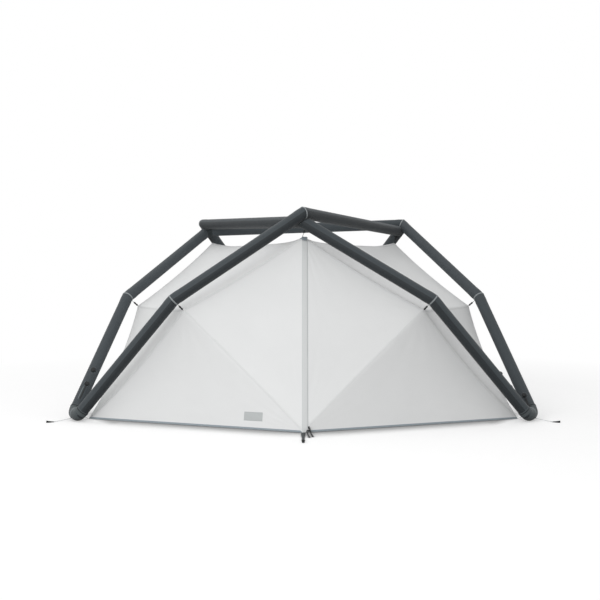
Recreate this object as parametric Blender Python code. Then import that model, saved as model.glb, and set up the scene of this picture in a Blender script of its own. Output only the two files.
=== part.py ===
"""Inflatable dome tent: three woven air-tube arches carry a hung fly, an inner tent and a floor.

Metres, +Z up. The origin is on the ground, on the tent's three-fold axis. The door faces -Y.
Each arch runs from one foot over the nearest roof corner, under the next one and down to the next foot.
"""

import math

import bmesh
import bpy
import numpy as np
from mathutils import Matrix, Vector

# Air-tube frame, along the middle line of one arch
TUBE_DIAMETER = 0.076
SLEEVE_WALL = 0.0012
BLADDER_WALL = 0.0008
FOOT_RADIUS = 1.650
FOOT_SPACING = 0.102
BOOT_WALL = 0.0030
KNEE_RADIUS = 1.241
KNEE_HEIGHT = 0.762
OVER_HUB_RADIUS = 0.875
OVER_HUB_HEIGHT = 1.299
UNDER_HUB_RADIUS = 0.847
UNDER_HUB_HEIGHT = 1.246
KNEE_TURN_SHARE = 0.333
TUBE_SIDES = 20
BLADDER_END_BACK = 0.030
BLADDER_GATHER_SHARE = 0.9

# Distances from a bend at which a run gets extra rings, where another tube presses in
PRESSED_STATIONS = (0.012, 0.024, 0.036, 0.048, 0.062, 0.080, 0.110)
PRESS_ROUNDS = 16

# Clearances
SEAM_GAP = 0.0003
PRESS_GAP = 0.0034
BLADDER_GAP = 0.0006
SEAT_GAP = 0.0004

# Piping bands on the tube bends
PIPING_WIDTH = 0.010
PIPING_THICKNESS = 0.0012

# Valves
VALVE_FLANGE_DIAMETER = 0.031
VALVE_FLANGE_THICKNESS = 0.0030
VALVE_BARREL_DIAMETER = 0.018
VALVE_BORE_DIAMETER = 0.011
VALVE_DEPTH = 0.009
VALVE_NECK_HEIGHT = 0.0052
CAP_DIAMETER = 0.025
CAP_HEIGHT = 0.0110
CAP_WALL = 0.0014
CAP_LUG_REACH = 0.0165
CAP_LUG_WIDTH = 0.0060
KNOB_DIAMETER = 0.022
KNOB_HEIGHT = 0.0085
KNOB_EDGE_DIAMETER = 0.0176
KNOB_GRIP_LENGTH = 0.0187
KNOB_GRIP_WIDTH = 0.0050
KNOB_GRIP_HEIGHT = 0.0040
INFLATION_FROM_FOOT = 0.307
RELIEF_FROM_FOOT = 0.201
LOCK_FROM_FOOT = 0.112
VALVE_SIDES = 20

# Fly
FLY_THICKNESS = 0.0012
FLY_HUB_RADIUS = 0.8005
FLY_HUB_HEIGHT = 1.157
FLY_KNEE_RADIUS = 1.170
FLY_KNEE_HEIGHT = 0.699
FLY_FOOT_SET_IN = 0.079
FLY_HEM_RADIUS = 1.285
HEM_HEIGHT = 0.0040
FLY_KNEE_TURN_SHARE = 0.330

# Front door, its zip and its flap
ZIP_OFFSET = 0.0256
ZIP_CHAIN_WIDTH = 0.0034
ZIP_CHAIN_THICKNESS = 0.0024
STORM_FLAP_WIDTH = 0.0330
STORM_FLAP_THICKNESS = 0.0016
DOOR_TOP_DROP = 0.075
DOOR_SEAM_SHARE = 0.26
DOOR_HEM_SHARE = 0.45
HINGE_CLEARANCE = 0.004
ZIP_RUN_GAP = 0.0010
ZIP_TOP_GAP = 0.0020
SLIDER_SIDE_GAP = 0.0022
SLIDER_WIDTH = 0.0080
SLIDER_LENGTH = 0.0140
SLIDER_NOSE_SHARE = 0.7
SLIDER_TAPER_SHARE = 0.6
SLIDER_THICKNESS = 0.0050
LOWER_SLIDER_HEIGHT = 0.0125
UPPER_SLIDER_HEIGHT = 0.0300
PULL_CORD_DIAMETER = 0.0030
# A zip pull leaves its slider here, square to it, then drops and lies on the ground
LOWER_PULL_ROUTE = (
    (0.0320, -1.2925, 0.0175),
    (0.0317, -1.2990, 0.0110),
    (0.0318, -1.3130, 0.0022),
    (0.0330, -1.3450, 0.0020),
    (0.0350, -1.3850, 0.0020),
    (0.0372, -1.4230, 0.0020),
)
UPPER_PULL_ROUTE = (
    (0.0325, -1.2850, 0.0355),
    (0.0345, -1.2930, 0.0270),
    (0.0385, -1.3040, 0.0100),
    (0.0425, -1.3200, 0.0022),
    (0.0470, -1.3500, 0.0020),
    (0.0510, -1.3800, 0.0020),
    (0.0547, -1.4090, 0.0020),
)
CORD_STEP = 0.007
LABEL_WIDTH = 0.120
LABEL_HEIGHT = 0.052
LABEL_THICKNESS = 0.0010
LABEL_OFFSET = 0.302
LABEL_LIFT = 0.050

# Ties, straps, guys and pegs
TIE_DIAMETER = 0.0050
TIE_SIDES = 8
TIE_INSET = 0.009
TIE_SINK = 0.001
STRAP_WIDTH = 0.024
STRAP_THICKNESS = 0.0015
GUY_DIAMETER = 0.0030
GUY_BOOT_HEIGHT = 0.016
FOOT_PEG_SET_OUT = 0.142
FOOT_PEG_REACH = 0.046
FOOT_PEG_START = 0.0032
FOOT_PEG_RISE = 0.0130
FOOT_PEG_WIDTH = 0.010
DOOR_PEG_RADIUS = 1.577
DOOR_PEG_DIAMETER = 0.017
DOOR_PEG_WAIST = 0.010
DOOR_PEG_HEIGHT = 0.014
DOOR_PEG_STEP_SHARES = (0.0, 0.3, 0.45, 0.75, 1.0)
DOOR_STRAP_WIDTH = 0.020

# Floor and inner tent
FLOOR_THICKNESS = 0.0015
FLOOR_INSET = 0.012
TUB_HEIGHT = 0.080
INNER_THICKNESS = 0.0010
INNER_HUB_RADIUS = 0.735
INNER_HUB_HEIGHT = 1.070
INNER_KNEE_RADIUS = 1.085
INNER_KNEE_HEIGHT = 0.650
INNER_FOOT_SET_IN = 0.141
INNER_HEM_RADIUS = 1.170
DOORWAY_TOP_DROP = 0.120
DOORWAY_SEAM_SHARE = 0.36
DOORWAY_HEM_SHARE = 0.45
ROLL_DIAMETER = 0.050
ROLL_TAPER_SHARE = 0.5
ROLL_END_SHARE = 0.07
ROLL_SIDES = 12
LOOP_DIAMETER = 0.0030
LOOP_END_GAP = 0.0040
LOOP_SIDES = 6

# Directions, in degrees round the tent's axis
FOOT_AZIMUTHS = {"left": -150.0, "right": -30.0, "back": 90.0}
FRONT = -90.0
TURN = 120.0
HALF_TURN = 60.0
END_VALVE_AZIMUTH = 155.0
START_VALVE_AZIMUTH = 138.0

TUBE_RADIUS = TUBE_DIAMETER / 2
BOOT_RADIUS = TUBE_RADIUS + BOOT_WALL
PIPING_OUTER = TUBE_RADIUS + PIPING_THICKNESS
PRESS_REACH = PIPING_OUTER + PRESS_GAP
FOOT_PEG_RADIUS = FOOT_RADIUS + FOOT_PEG_SET_OUT
FLY_FOOT_RADIUS = FOOT_RADIUS - FLY_FOOT_SET_IN
INNER_FOOT_RADIUS = FLY_FOOT_RADIUS - INNER_FOOT_SET_IN


def polar(radius, azimuth, height):
    angle = math.radians(azimuth)
    return Vector((radius * math.cos(angle), radius * math.sin(angle), height))


def turned(point, azimuth):
    return Matrix.Rotation(math.radians(azimuth), 3, "Z") @ Vector(point)


def mirrored(points):
    """The points on the other side of the plane x = 0, in the order that keeps a face's direction."""
    return [Vector((-p.x, p.y, p.z)) for p in reversed(points)]


# Closed bodies as (points, faces)


def outward(points, faces):
    """The body with its faces turned outwards, found from the sign of its volume."""
    volume = 0.0
    for face in faces:
        a = points[face[0]]
        for b, c in zip(face[1:-1], face[2:]):
            volume += a.dot(points[b].cross(points[c]))
    if volume < 0:
        faces = [tuple(reversed(face)) for face in faces]
    return points, faces


def skin(rings, closed_loop=False, split=False):
    """Quads between rings of equally many points, or pairs of triangles cut along the same diagonal."""
    count = len(rings[0])
    faces = []
    last = len(rings) if closed_loop else len(rings) - 1
    for i in range(last):
        a = i * count
        b = ((i + 1) % len(rings)) * count
        for j in range(count):
            k = (j + 1) % count
            if split:
                faces.append((a + j, a + k, b + k))
                faces.append((a + j, b + k, b + j))
            else:
                faces.append((a + j, a + k, b + k, b + j))
    return faces


def pipe(outer, inner):
    """A hollow tube with an outer and an inner wall and a flat rim at each end."""
    points = [p for ring in outer + inner for p in ring]
    count = len(outer[0])
    start = len(outer) * count
    faces = skin(outer, split=True)
    faces += [tuple(start + i for i in reversed(face)) for face in skin(inner, split=True)]
    last_outer = start - count
    last_inner = len(points) - count
    for j in range(count):
        k = (j + 1) % count
        faces.append((k, j, start + j, start + k))
        faces.append((last_outer + j, last_outer + k, last_inner + k, last_inner + j))
    return outward(points, faces)


def capped(rings, split=False):
    """A solid whose ends are the first and the last ring."""
    points = [p for ring in rings for p in ring]
    count = len(rings[0])
    faces = skin(rings, split=split)
    faces.append(tuple(reversed(range(count))))
    faces.append(tuple(range(len(points) - count, len(points))))
    return outward(points, faces)


def lathe(profile, sides):
    """A turned body about +Z from a profile of (radius, height) points. A closed profile makes a ring."""
    rings = []
    for radius, height in profile:
        ring = []
        for j in range(sides):
            angle = 2 * math.pi * j / sides
            ring.append(Vector((radius * math.cos(angle), radius * math.sin(angle), height)))
        rings.append(ring)
    return rings


def turned_solid(profile, sides):
    return capped(lathe(profile, sides))


def turned_ring(profile, sides):
    rings = lathe(profile, sides)
    points = [p for ring in rings for p in ring]
    return outward(points, skin(rings, closed_loop=True))


def block(width, depth, height, middle):
    """A box by its sizes along X, Y and Z and its middle."""
    low = Vector(middle) - Vector((width, depth, height)) / 2
    ring_low = [low, low + Vector((width, 0, 0)), low + Vector((width, depth, 0)), low + Vector((0, depth, 0))]
    ring_high = [p + Vector((0, 0, height)) for p in ring_low]
    return capped([ring_low, ring_high])


def moved(body, matrix):
    points, faces = body
    return [matrix @ p for p in points], faces


def turned_copies(body, azimuths):
    return [moved(body, Matrix.Rotation(math.radians(a), 4, "Z")) for a in azimuths]


def standing_on(base, direction, hint):
    """A matrix that takes +Z to a direction and the origin to a base point, with +X near the hint."""
    z = direction.normalized()
    x = (hint - z * hint.dot(z)).normalized()
    y = z.cross(x)
    rotation = Matrix((x, y, z)).transposed().to_4x4()
    return Matrix.Translation(base) @ rotation


def rod(path, radii, sides):
    """A round rod along a path of points, with a radius at each point and flat ends."""
    rings = []
    side = None
    for i, point in enumerate(path):
        before = path[max(i - 1, 0)]
        after = path[min(i + 1, len(path) - 1)]
        along = (after - before).normalized()
        if side is None:
            side = along.orthogonal().normalized()
        side = (side - along * side.dot(along)).normalized()
        up = along.cross(side)
        ring = []
        for j in range(sides):
            angle = 2 * math.pi * j / sides
            ring.append(point + radii[i] * (side * math.cos(angle) + up * math.sin(angle)))
        rings.append(ring)
    return capped(rings)


def strap(start, end, width, thickness, level):
    """A flat band from start to end, its width along the level direction."""
    along = (end - start).normalized()
    across = (level - along * level.dot(along)).normalized()
    up = along.cross(across)
    half = across * width / 2
    rise = up * thickness / 2
    ring_start = [start - half - rise, start + half - rise, start + half + rise, start - half + rise]
    ring_end = [p + (end - start) for p in ring_start]
    return capped([ring_start, ring_end])


# Blender objects


def material(name, colour, roughness, metallic=0.0):
    """A Principled material from an sRGB hex colour."""
    value = int(colour.lstrip("#"), 16)
    linear = []
    for shift in (16, 8, 0):
        share = (value >> shift & 255) / 255
        linear.append(share / 12.92 if share <= 0.04045 else ((share + 0.055) / 1.055) ** 2.4)
    made = bpy.data.materials.new(name)
    made.use_nodes = True
    shader = made.node_tree.nodes["Principled BSDF"]
    shader.inputs["Base Color"].default_value = (*linear, 1.0)
    shader.inputs["Roughness"].default_value = roughness
    shader.inputs["Metallic"].default_value = metallic
    made.diffuse_color = (*linear, 1.0)
    return made


def mesh_of(name, bodies, smooth_angle=None):
    """One mesh that holds the bodies side by side."""
    points = []
    faces = []
    for body_points, body_faces in bodies:
        start = len(points)
        points.extend(body_points)
        faces.extend(tuple(start + i for i in face) for face in body_faces)
    mesh = bpy.data.meshes.new(name)
    mesh.from_pydata([tuple(p) for p in points], [], faces)
    if smooth_angle is not None:
        mesh.shade_smooth()
        mesh.set_sharp_from_angle(angle=smooth_angle)
    return mesh


def node(name, mesh, finish, azimuth=0.0):
    """One named sub-part. Its own copy of the material keeps each sub-part's finish apart."""
    made = bpy.data.objects.new(name, mesh)
    made.rotation_euler.z = math.radians(azimuth)
    bpy.context.scene.collection.objects.link(made)
    if not mesh.materials:
        mesh.materials.append(material(name, *finish))
    return made


ROUND = math.radians(35)
SLEEVE_FINISH = ("#454b4d", 0.75)
BLADDER_FINISH = ("#c9cdc4", 0.40)
BOOT_FINISH = ("#4e5456", 0.80)
BLACK_PLASTIC = ("#17191a", 0.45)
GREY_PLASTIC = ("#34393b", 0.50)
FLY_FINISH = ("#d9dada", 0.60)
FLAP_FINISH = ("#cfd1d1", 0.60)
ZIP_FINISH = ("#3c4244", 0.50)
CORD_FINISH = ("#c4c8c8", 0.80)
LABEL_FINISH = ("#b9bcbd", 0.55)
FLOOR_FINISH = ("#5d6468", 0.65)
MESH_FINISH = ("#8f9698", 0.90)
PEG_FINISH = ("#1b1d1e", 0.35, 0.6)


# Air tubes


def arch_line():
    """The middle line of the arch that starts at the left foot, as six points."""
    start_offset = math.degrees(FOOT_SPACING / 2 / FOOT_RADIUS)
    knee_turn = TURN * KNEE_TURN_SHARE
    start = FOOT_AZIMUTHS["left"] + start_offset
    over = FRONT
    under = FRONT + TURN
    end = FOOT_AZIMUTHS["back"] - start_offset
    return [
        polar(FOOT_RADIUS, start, BOOT_RADIUS),
        polar(KNEE_RADIUS, over - knee_turn, KNEE_HEIGHT),
        polar(OVER_HUB_RADIUS, over, OVER_HUB_HEIGHT),
        polar(UNDER_HUB_RADIUS, under, UNDER_HUB_HEIGHT),
        polar(KNEE_RADIUS, under + knee_turn, KNEE_HEIGHT),
        polar(FOOT_RADIUS, end, BOOT_RADIUS),
    ]


def middle_of(points):
    return sum(points, Vector((0, 0, 0))) / len(points)


def directions(line):
    return [(b - a).normalized() for a, b in zip(line[:-1], line[1:])]


def bend_planes(line, before, after):
    """The cutting plane's normal at each point, halfway between the runs on its two sides."""
    runs = [before, *directions(line), after]
    return [(a + b).normalized() for a, b in zip(runs[:-1], runs[1:])]


def cross_frames(line):
    """Two directions across each run, carried along the line without twist."""
    runs = directions(line)
    side = runs[0].cross(Vector((0, 0, 1))).normalized()
    frames = [(side, runs[0].cross(side))]
    for a, b in zip(runs[:-1], runs[1:]):
        turn = a.rotation_difference(b)
        side = turn @ frames[-1][0]
        frames.append((side, b.cross(side)))
    return frames


def cut_ring(point, run, frame, plane_point, plane_normal, radius, sides=TUBE_SIDES):
    """Points where the tube round a run meets a plane."""
    ring = []
    for j in range(sides):
        angle = 2 * math.pi * j / sides
        p = point + radius * (frame[0] * math.cos(angle) + frame[1] * math.sin(angle))
        slide = (plane_point - p).dot(plane_normal) / run.dot(plane_normal)
        ring.append(p + run * slide)
    return ring


def between(ring_a, ring_b, share):
    return [a.lerp(b, share) for a, b in zip(ring_a, ring_b)]


def distance_to(line, point):
    """The distance from a point to a line of straight runs."""
    distances = []
    for a, b in zip(line[:-1], line[1:]):
        share = (point - a).dot(b - a) / (b - a).length_squared
        distances.append((point - a.lerp(b, min(max(share, 0.0), 1.0))).length)
    return min(distances)


def pressed(point, middle, line, reach):
    """The point drawn back towards its tube's middle until it clears the tube that crosses above."""
    if distance_to(line, point) >= reach:
        return point
    clear, touching = 0.0, 1.0
    for _ in range(PRESS_ROUNDS):
        half = (clear + touching) / 2
        if distance_to(line, middle.lerp(point, half)) < reach:
            touching = half
        else:
            clear = half
    return middle.lerp(point, clear)


def crossing_line():
    """The stretch of the next arch that lies on top of this arch's under hub."""
    return [turned(p, TURN) for p in arch_line()[1:4]]


def bend_ring(index, radius, end_gap=0.0):
    """The ring where the tube turns at one of the arch's points. A gap moves an end ring back into its run."""
    line = arch_line()
    runs = directions(line)
    frames = cross_frames(line)
    planes = bend_planes(line, *foot_runs())
    run = min(index, len(runs) - 1)
    step = runs[run] * end_gap / abs(runs[run].dot(planes[index]))
    point = line[index] - step if index == len(runs) else line[index] + step
    return cut_ring(point, runs[run], frames[run], point, planes[index], radius)


def arch_rings(depth, end_gap=0.0, end_back=0.0):
    """Rings of the arch from foot to foot, at a depth under its surface, pressed in by the next arch."""
    radius = TUBE_RADIUS - depth
    rings = [bend_ring(index, radius, end_gap if index in (0, 5) else 0.0) for index in range(6)]
    line = arch_line()
    first_share = end_back / (line[1] - line[0]).length
    last_share = end_back / (line[5] - line[4]).length
    rings[0], rings[5] = between(rings[0], rings[1], first_share), between(rings[5], rings[4], last_share)
    above = crossing_line()
    stations = []
    for index, (a, b) in enumerate(zip(rings[:-1], rings[1:])):
        length = (line[index + 1] - line[index]).length
        shares = [0.0]
        if index == 2:
            shares += [1 - d / length for d in reversed(PRESSED_STATIONS)]
        if index == 3:
            shares += [d / length for d in PRESSED_STATIONS]
        for share in shares:
            ring = between(a, b, share)
            if index in (2, 3):
                middle = line[index].lerp(line[index + 1], share)
                ring = [pressed(p, middle, above, PRESS_REACH + depth) for p in ring]
            stations.append(ring)
    return [*stations, rings[5]]


def foot_runs():
    """The directions of the short foot tubes before and after this arch."""
    line = arch_line()
    before = (line[0] - turned(line[5], TURN)).normalized()
    after = (turned(line[0], -TURN) - line[5]).normalized()
    return before, after


def sleeve_body():
    """One long cloth sleeve, sewn to its bends, with a raised piping band at each bend but the hidden one."""
    outer = arch_rings(0.0, SEAM_GAP / 2)
    inner = arch_rings(SLEEVE_WALL, SEAM_GAP / 2)
    runs = directions(arch_line())
    for index in (4, 2, 1):
        station = index if index < 3 else index + 2 * len(PRESSED_STATIONS)
        back = -runs[index - 1] * PIPING_WIDTH / 2
        ahead = runs[index] * PIPING_WIDTH / 2
        plain = bend_ring(index, TUBE_RADIUS)
        raised = bend_ring(index, PIPING_OUTER)
        outer[station : station + 1] = [
            [p + back for p in plain],
            [p + back for p in raised],
            raised,
            [p + ahead for p in raised],
            [p + ahead for p in plain],
        ]
    return pipe(outer, inner)


BLADDER_DEPTH = SLEEVE_WALL + BLADDER_GAP


def gathered(rings):
    """The rings with their two ends drawn together to a small opening."""
    ends = []
    for ring in (rings[0], rings[-1]):
        middle = middle_of(ring)
        ends.append([p.lerp(middle, BLADDER_GATHER_SHARE) for p in ring])
    return [ends[0], *rings, ends[1]]


def bladder_body():
    """One long air bladder inside a sleeve, gathered at both ends."""
    wall_depth = BLADDER_DEPTH + BLADDER_WALL
    wall_back = BLADDER_END_BACK + BLADDER_WALL
    outer = arch_rings(BLADDER_DEPTH, end_back=BLADDER_END_BACK)
    inner = arch_rings(wall_depth, end_back=wall_back)
    return pipe(gathered(outer), gathered(inner))


def boot_body():
    """The short ground tube of the left foot, between the end of one arch and the start of the next."""
    line = arch_line()
    start = turned(line[5], TURN)
    end = line[0]
    run = (end - start).normalized()
    arriving = Matrix.Rotation(math.radians(TURN), 3, "Z") @ directions(line)[4]
    leaving = directions(line)[0]
    down = Vector((0, 0, -1))
    frame = (down, run.cross(down))
    shells = []
    for radius in (BOOT_RADIUS, TUBE_RADIUS - SLEEVE_WALL):
        first_normal = (arriving + run).normalized()
        last_normal = (run + leaving).normalized()
        first = start + run * SEAM_GAP / 2 / run.dot(first_normal)
        last = end - run * SEAM_GAP / 2 / run.dot(last_normal)
        ring_a = cut_ring(start, run, frame, first, first_normal, radius)
        ring_b = cut_ring(end, run, frame, last, last_normal, radius)
        shells.append([ring_a, ring_b])
    return pipe(shells[0], shells[1])


# Valves


def leg_place(leg, from_foot, azimuth):
    """The point on a leg's middle line, the direction across the leg and the leg's own direction."""
    line = arch_line()
    foot, knee = (line[0], line[1]) if leg == "start" else (line[5], line[4])
    run = (knee - foot).normalized()
    point = foot + run * from_foot
    wanted = polar(1.0, azimuth, 0.0)
    across = (wanted - run * wanted.dot(run)).normalized()
    return point, across, run


VALVE_PLACES = (
    ("end", INFLATION_FROM_FOOT, END_VALVE_AZIMUTH),
    ("end", RELIEF_FROM_FOOT, END_VALVE_AZIMUTH),
    ("start", LOCK_FROM_FOOT, START_VALVE_AZIMUTH),
)


def valve_matrix(place):
    """Takes +Z to the direction out of the leg and the origin to the sleeve's surface."""
    point, across, run = leg_place(*place)
    return standing_on(point + across * (TUBE_RADIUS + SEAT_GAP), across, run)


def valve_profile():
    barrel = VALVE_BARREL_DIAMETER / 2
    bore = VALVE_BORE_DIAMETER / 2
    flange = VALVE_FLANGE_DIAMETER / 2
    neck_top = VALVE_FLANGE_THICKNESS + VALVE_NECK_HEIGHT
    return [
        (bore, -VALVE_DEPTH),
        (barrel, -VALVE_DEPTH),
        (barrel, 0.0),
        (flange, 0.0),
        (flange, VALVE_FLANGE_THICKNESS),
        (barrel, VALVE_FLANGE_THICKNESS),
        (barrel, neck_top),
        (bore, neck_top),
    ]


def valve_body(place):
    return moved(turned_ring(valve_profile(), VALVE_SIDES), valve_matrix(place))


def cap_parts():
    """A cup over the valve's neck with a lug at its rim to its hinge, along +X, before it is placed."""
    outer = CAP_DIAMETER / 2
    inner = outer - CAP_WALL
    foot = VALVE_FLANGE_THICKNESS + SEAT_GAP
    top = foot + CAP_HEIGHT
    roof = top - CAP_WALL
    cup = turned_solid(
        [(inner, roof), (inner, foot), (outer, foot), (outer, top - CAP_WALL / 2), (inner, top)],
        VALVE_SIDES,
    )
    lug_length = CAP_LUG_REACH - inner
    lug = block(
        lug_length,
        CAP_LUG_WIDTH,
        CAP_WALL,
        (CAP_LUG_REACH - lug_length / 2, 0.0, foot + CAP_WALL / 2),
    )
    return cup, lug


def relief_body(place):
    """A domed blow-off valve."""
    barrel = VALVE_BARREL_DIAMETER / 2
    flange = VALVE_FLANGE_DIAMETER / 2
    dome = CAP_DIAMETER / 2
    top = VALVE_FLANGE_THICKNESS + VALVE_NECK_HEIGHT
    profile = [
        (barrel, -VALVE_DEPTH),
        (barrel, 0.0),
        (flange, 0.0),
        (flange, VALVE_FLANGE_THICKNESS),
        (dome, VALVE_FLANGE_THICKNESS),
        (dome, top - CAP_WALL),
        (dome - CAP_WALL, top),
    ]
    return moved(turned_solid(profile, VALVE_SIDES), valve_matrix(place))


# Flat cloth panels


def flat_normal(polygon):
    total = Vector((0, 0, 0))
    for a, b in zip(polygon, polygon[1:] + polygon[:1]):
        total += a.cross(b)
    return total.normalized()


def inset(polygon, distance):
    """The polygon with every edge moved inwards by a distance."""
    normal = flat_normal(polygon)
    corners = []
    for i, here in enumerate(polygon):
        before = normal.cross((here - polygon[i - 1]).normalized())
        after = normal.cross((polygon[(i + 1) % len(polygon)] - here).normalized())
        corners.append(here + (before + after) * distance / (1 + before.dot(after)))
    return corners


def cloth(polygons, thickness, proud=0.0):
    """One sewn body from flat panels, each seen from outside. Panels that share corners share a seam."""
    corners = []
    faces = []
    for polygon in polygons:
        face = []
        for p in polygon:
            known = [i for i, q in enumerate(corners) if (p - q).length < SEAM_GAP]
            if not known:
                corners.append(p)
            face.append(known[0] if known else len(corners) - 1)
        faces.append(face)
    normals = [flat_normal(polygon) for polygon in polygons]
    sides = {}
    for face, normal in zip(faces, normals):
        for a, b in zip(face, face[1:] + face[:1]):
            sides[a, b] = normal
    rim = [(a, b) for a, b in sides if (b, a) not in sides]

    def shifted(rise, back):
        """Every corner moved along its panels' normals by the rise, and back from the free edges."""
        moved_corners = []
        for i, p in enumerate(corners):
            rows = [n for face, n in zip(faces, normals) if i in face]
            goals = [rise] * len(rows)
            for a, b in rim:
                if i in (a, b):
                    rows.append(sides[a, b].cross((corners[b] - corners[a]).normalized()))
                    goals.append(back)
            step = np.linalg.lstsq(np.array(rows), np.array(goals), rcond=None)[0]
            moved_corners.append(p + Vector(step))
        return moved_corners

    outer = shifted(proud, SEAM_GAP / 2)
    inner = shifted(proud - thickness, SEAM_GAP / 2 + thickness / 2)
    start = len(corners)
    shell = [tuple(face) for face in faces]
    shell += [tuple(start + i for i in reversed(face)) for face in faces]
    shell += [(b, a, start + a, start + b) for a, b in rim]
    return outward(outer + inner, shell)


def outside_up(polygon):
    """The polygon in the order whose normal points away from the tent's axis."""
    normal = flat_normal(polygon)
    if normal.dot(middle_of(polygon)) < 0:
        return list(reversed(polygon))
    return polygon


def shell_corners(hub, knee, foot, hem, knee_height, hub_height, base):
    """The corners of a fly or an inner tent by name, for the front and its two sides."""
    off = HALF_TURN - TURN * FLY_KNEE_TURN_SHARE
    left = FOOT_AZIMUTHS["left"]
    return {
        "hub": polar(hub, FRONT, hub_height),
        "hub_before": polar(hub, FRONT - TURN, hub_height),
        "knee": polar(knee, left + off, knee_height),
        "knee_before": polar(knee, left - off, knee_height),
        "foot": polar(foot, left, base),
        "hem": polar(hem, FRONT, base),
    }


def wall_faces(c):
    """The left half of the front wall: an upper and a lower triangle that meet on the seam from knee to hem."""
    upper = outside_up([c["hub"], c["knee"], c["hem"]])
    lower = outside_up([c["knee"], c["foot"], c["hem"]])
    return upper, lower


def side_faces(c):
    """The face over the left foot: the slope between two roof corners and the gore down to the foot."""
    slope = outside_up([c["hub"], c["knee"], c["knee_before"], c["hub_before"]])
    gore = outside_up([c["knee"], c["foot"], c["knee_before"]])
    return slope, gore


def roof_face(c):
    corners = [turned(c["hub"], a) for a in (0.0, TURN, 2 * TURN)]
    if flat_normal(corners).z < 0:
        corners.reverse()
    return corners


FLY = shell_corners(
    FLY_HUB_RADIUS,
    FLY_KNEE_RADIUS,
    FLY_FOOT_RADIUS,
    FLY_HEM_RADIUS,
    FLY_KNEE_HEIGHT,
    FLY_HUB_HEIGHT,
    HEM_HEIGHT,
)
INNER = shell_corners(
    INNER_HUB_RADIUS,
    INNER_KNEE_RADIUS,
    INNER_FOOT_RADIUS,
    INNER_HEM_RADIUS,
    INNER_KNEE_HEIGHT,
    INNER_HUB_HEIGHT,
    TUB_HEIGHT,
)
UP = Vector((0, 0, 1))


def door_corners(c, edge_x, top_drop, seam_share, hem_share):
    """The corners of the left half of a door by name. It folds from its top to the knee seam to the hem."""
    top = on_plane(wall_faces(c)[0], edge_x, c["hub"].z - top_drop)
    return {
        "top": top,
        "ridge": on_plane(wall_faces(c)[0], 0.0, top.z),
        "seam": c["knee"].lerp(c["hem"], seam_share),
        "bottom": c["hem"].lerp(c["foot"], hem_share),
        "seam_edge": at_x(c["knee"], c["hem"], edge_x),
        "hem_edge": at_x(c["foot"], c["hem"], edge_x),
    }


def at_x(a, b, x):
    return a.lerp(b, (x - a.x) / (b.x - a.x))


def on_plane(polygon, x, z):
    """The point with a given x and z on a polygon's plane."""
    normal = flat_normal(polygon)
    base = polygon[0]
    y = base.y - ((x - base.x) * normal.x + (z - base.z) * normal.z) / normal.y
    return Vector((x, y, z))


STORM_LEFT = ZIP_OFFSET - ZIP_CHAIN_WIDTH - STORM_FLAP_WIDTH
ZIP_RIGHT = ZIP_OFFSET + ZIP_CHAIN_WIDTH


def half_door(side):
    """The corners of one half of the fly's door, as for the left side."""
    edge = STORM_LEFT if side == "left" else -ZIP_RIGHT
    return door_corners(FLY, edge, DOOR_TOP_DROP, DOOR_SEAM_SHARE, DOOR_HEM_SHARE)


def front_pieces(side):
    """The fixed and the moving panels of one half of the fly's front."""
    d = half_door(side)
    fixed = [
        [FLY["hub"], FLY["knee"], d["seam"], d["top"], d["ridge"]],
        [FLY["knee"], FLY["foot"], d["bottom"], d["seam"]],
    ]
    moving = [
        [d["top"], d["seam"], d["seam_edge"]],
        [d["seam"], d["bottom"], d["hem_edge"], d["seam_edge"]],
    ]
    fixed = [outside_up(p) for p in fixed]
    moving = [outside_up(p) for p in moving]
    if side == "right":
        fixed = [mirrored(p) for p in fixed]
        moving = [mirrored(p) for p in moving]
    return fixed, moving


def hinge_line(side):
    """Two points on the axis that a door half folds about, just outside the cloth of its upper panel."""
    d = half_door(side)
    shift = flat_normal(wall_faces(FLY)[0]) * HINGE_CLEARANCE
    ends = [d["top"] + shift, d["seam"] + shift]
    if side == "right":
        ends = [Vector((-p.x, p.y, p.z)) for p in ends]
    return ends


def front_point(x, z):
    """The point on the strip between the two door halves, with a given x and z."""
    left = on_plane(wall_faces(FLY)[0], STORM_LEFT, z)
    right = mirrored([on_plane(wall_faces(FLY)[0], -ZIP_RIGHT, z)])[0]
    share = (x - STORM_LEFT) / (ZIP_RIGHT - STORM_LEFT)
    return left.lerp(right, share)


def front_strip(x_left, x_right, low, high):
    corners = [
        front_point(x_left, low),
        front_point(x_right, low),
        front_point(x_right, high),
        front_point(x_left, high),
    ]
    return outside_up(corners)


DOOR_TOP = FLY_HUB_HEIGHT - DOOR_TOP_DROP - ZIP_TOP_GAP
UP_THE_ZIP = (front_point(ZIP_OFFSET, DOOR_TOP) - front_point(ZIP_OFFSET, 0.0)).normalized()
FRONT_OUT = flat_normal(front_strip(STORM_LEFT, ZIP_RIGHT, HEM_HEIGHT, DOOR_TOP))


def slider_face(height):
    """The middle of a slider's outer face, a seat gap out."""
    middle = front_point(ZIP_OFFSET + SLIDER_SIDE_GAP + SLIDER_WIDTH / 2, height)
    return middle + FRONT_OUT * (ZIP_CHAIN_THICKNESS / 2 + SLIDER_THICKNESS + SEAT_GAP * 2)


def slider_body(height):
    """A zip slider on the right-hand chain: a tapered plate with a bridge."""
    middle = slider_face(height) - FRONT_OUT * (SLIDER_THICKNESS / 2 + SEAT_GAP)
    matrix = standing_on(middle, UP_THE_ZIP, FRONT_OUT)
    half = Vector((SLIDER_THICKNESS, SLIDER_WIDTH, SLIDER_LENGTH)) / 2
    rings = []
    taper_end = SLIDER_LENGTH * SLIDER_TAPER_SHARE - half.z
    for w, z in ((half.y * SLIDER_NOSE_SHARE, -half.z), (half.y, taper_end), (half.y, half.z)):
        rings.append(
            [
                Vector((-half.x, -w, z)),
                Vector((half.x, -w, z)),
                Vector((half.x, w, z)),
                Vector((-half.x, w, z)),
            ]
        )
    return moved(capped(rings), matrix)


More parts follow.
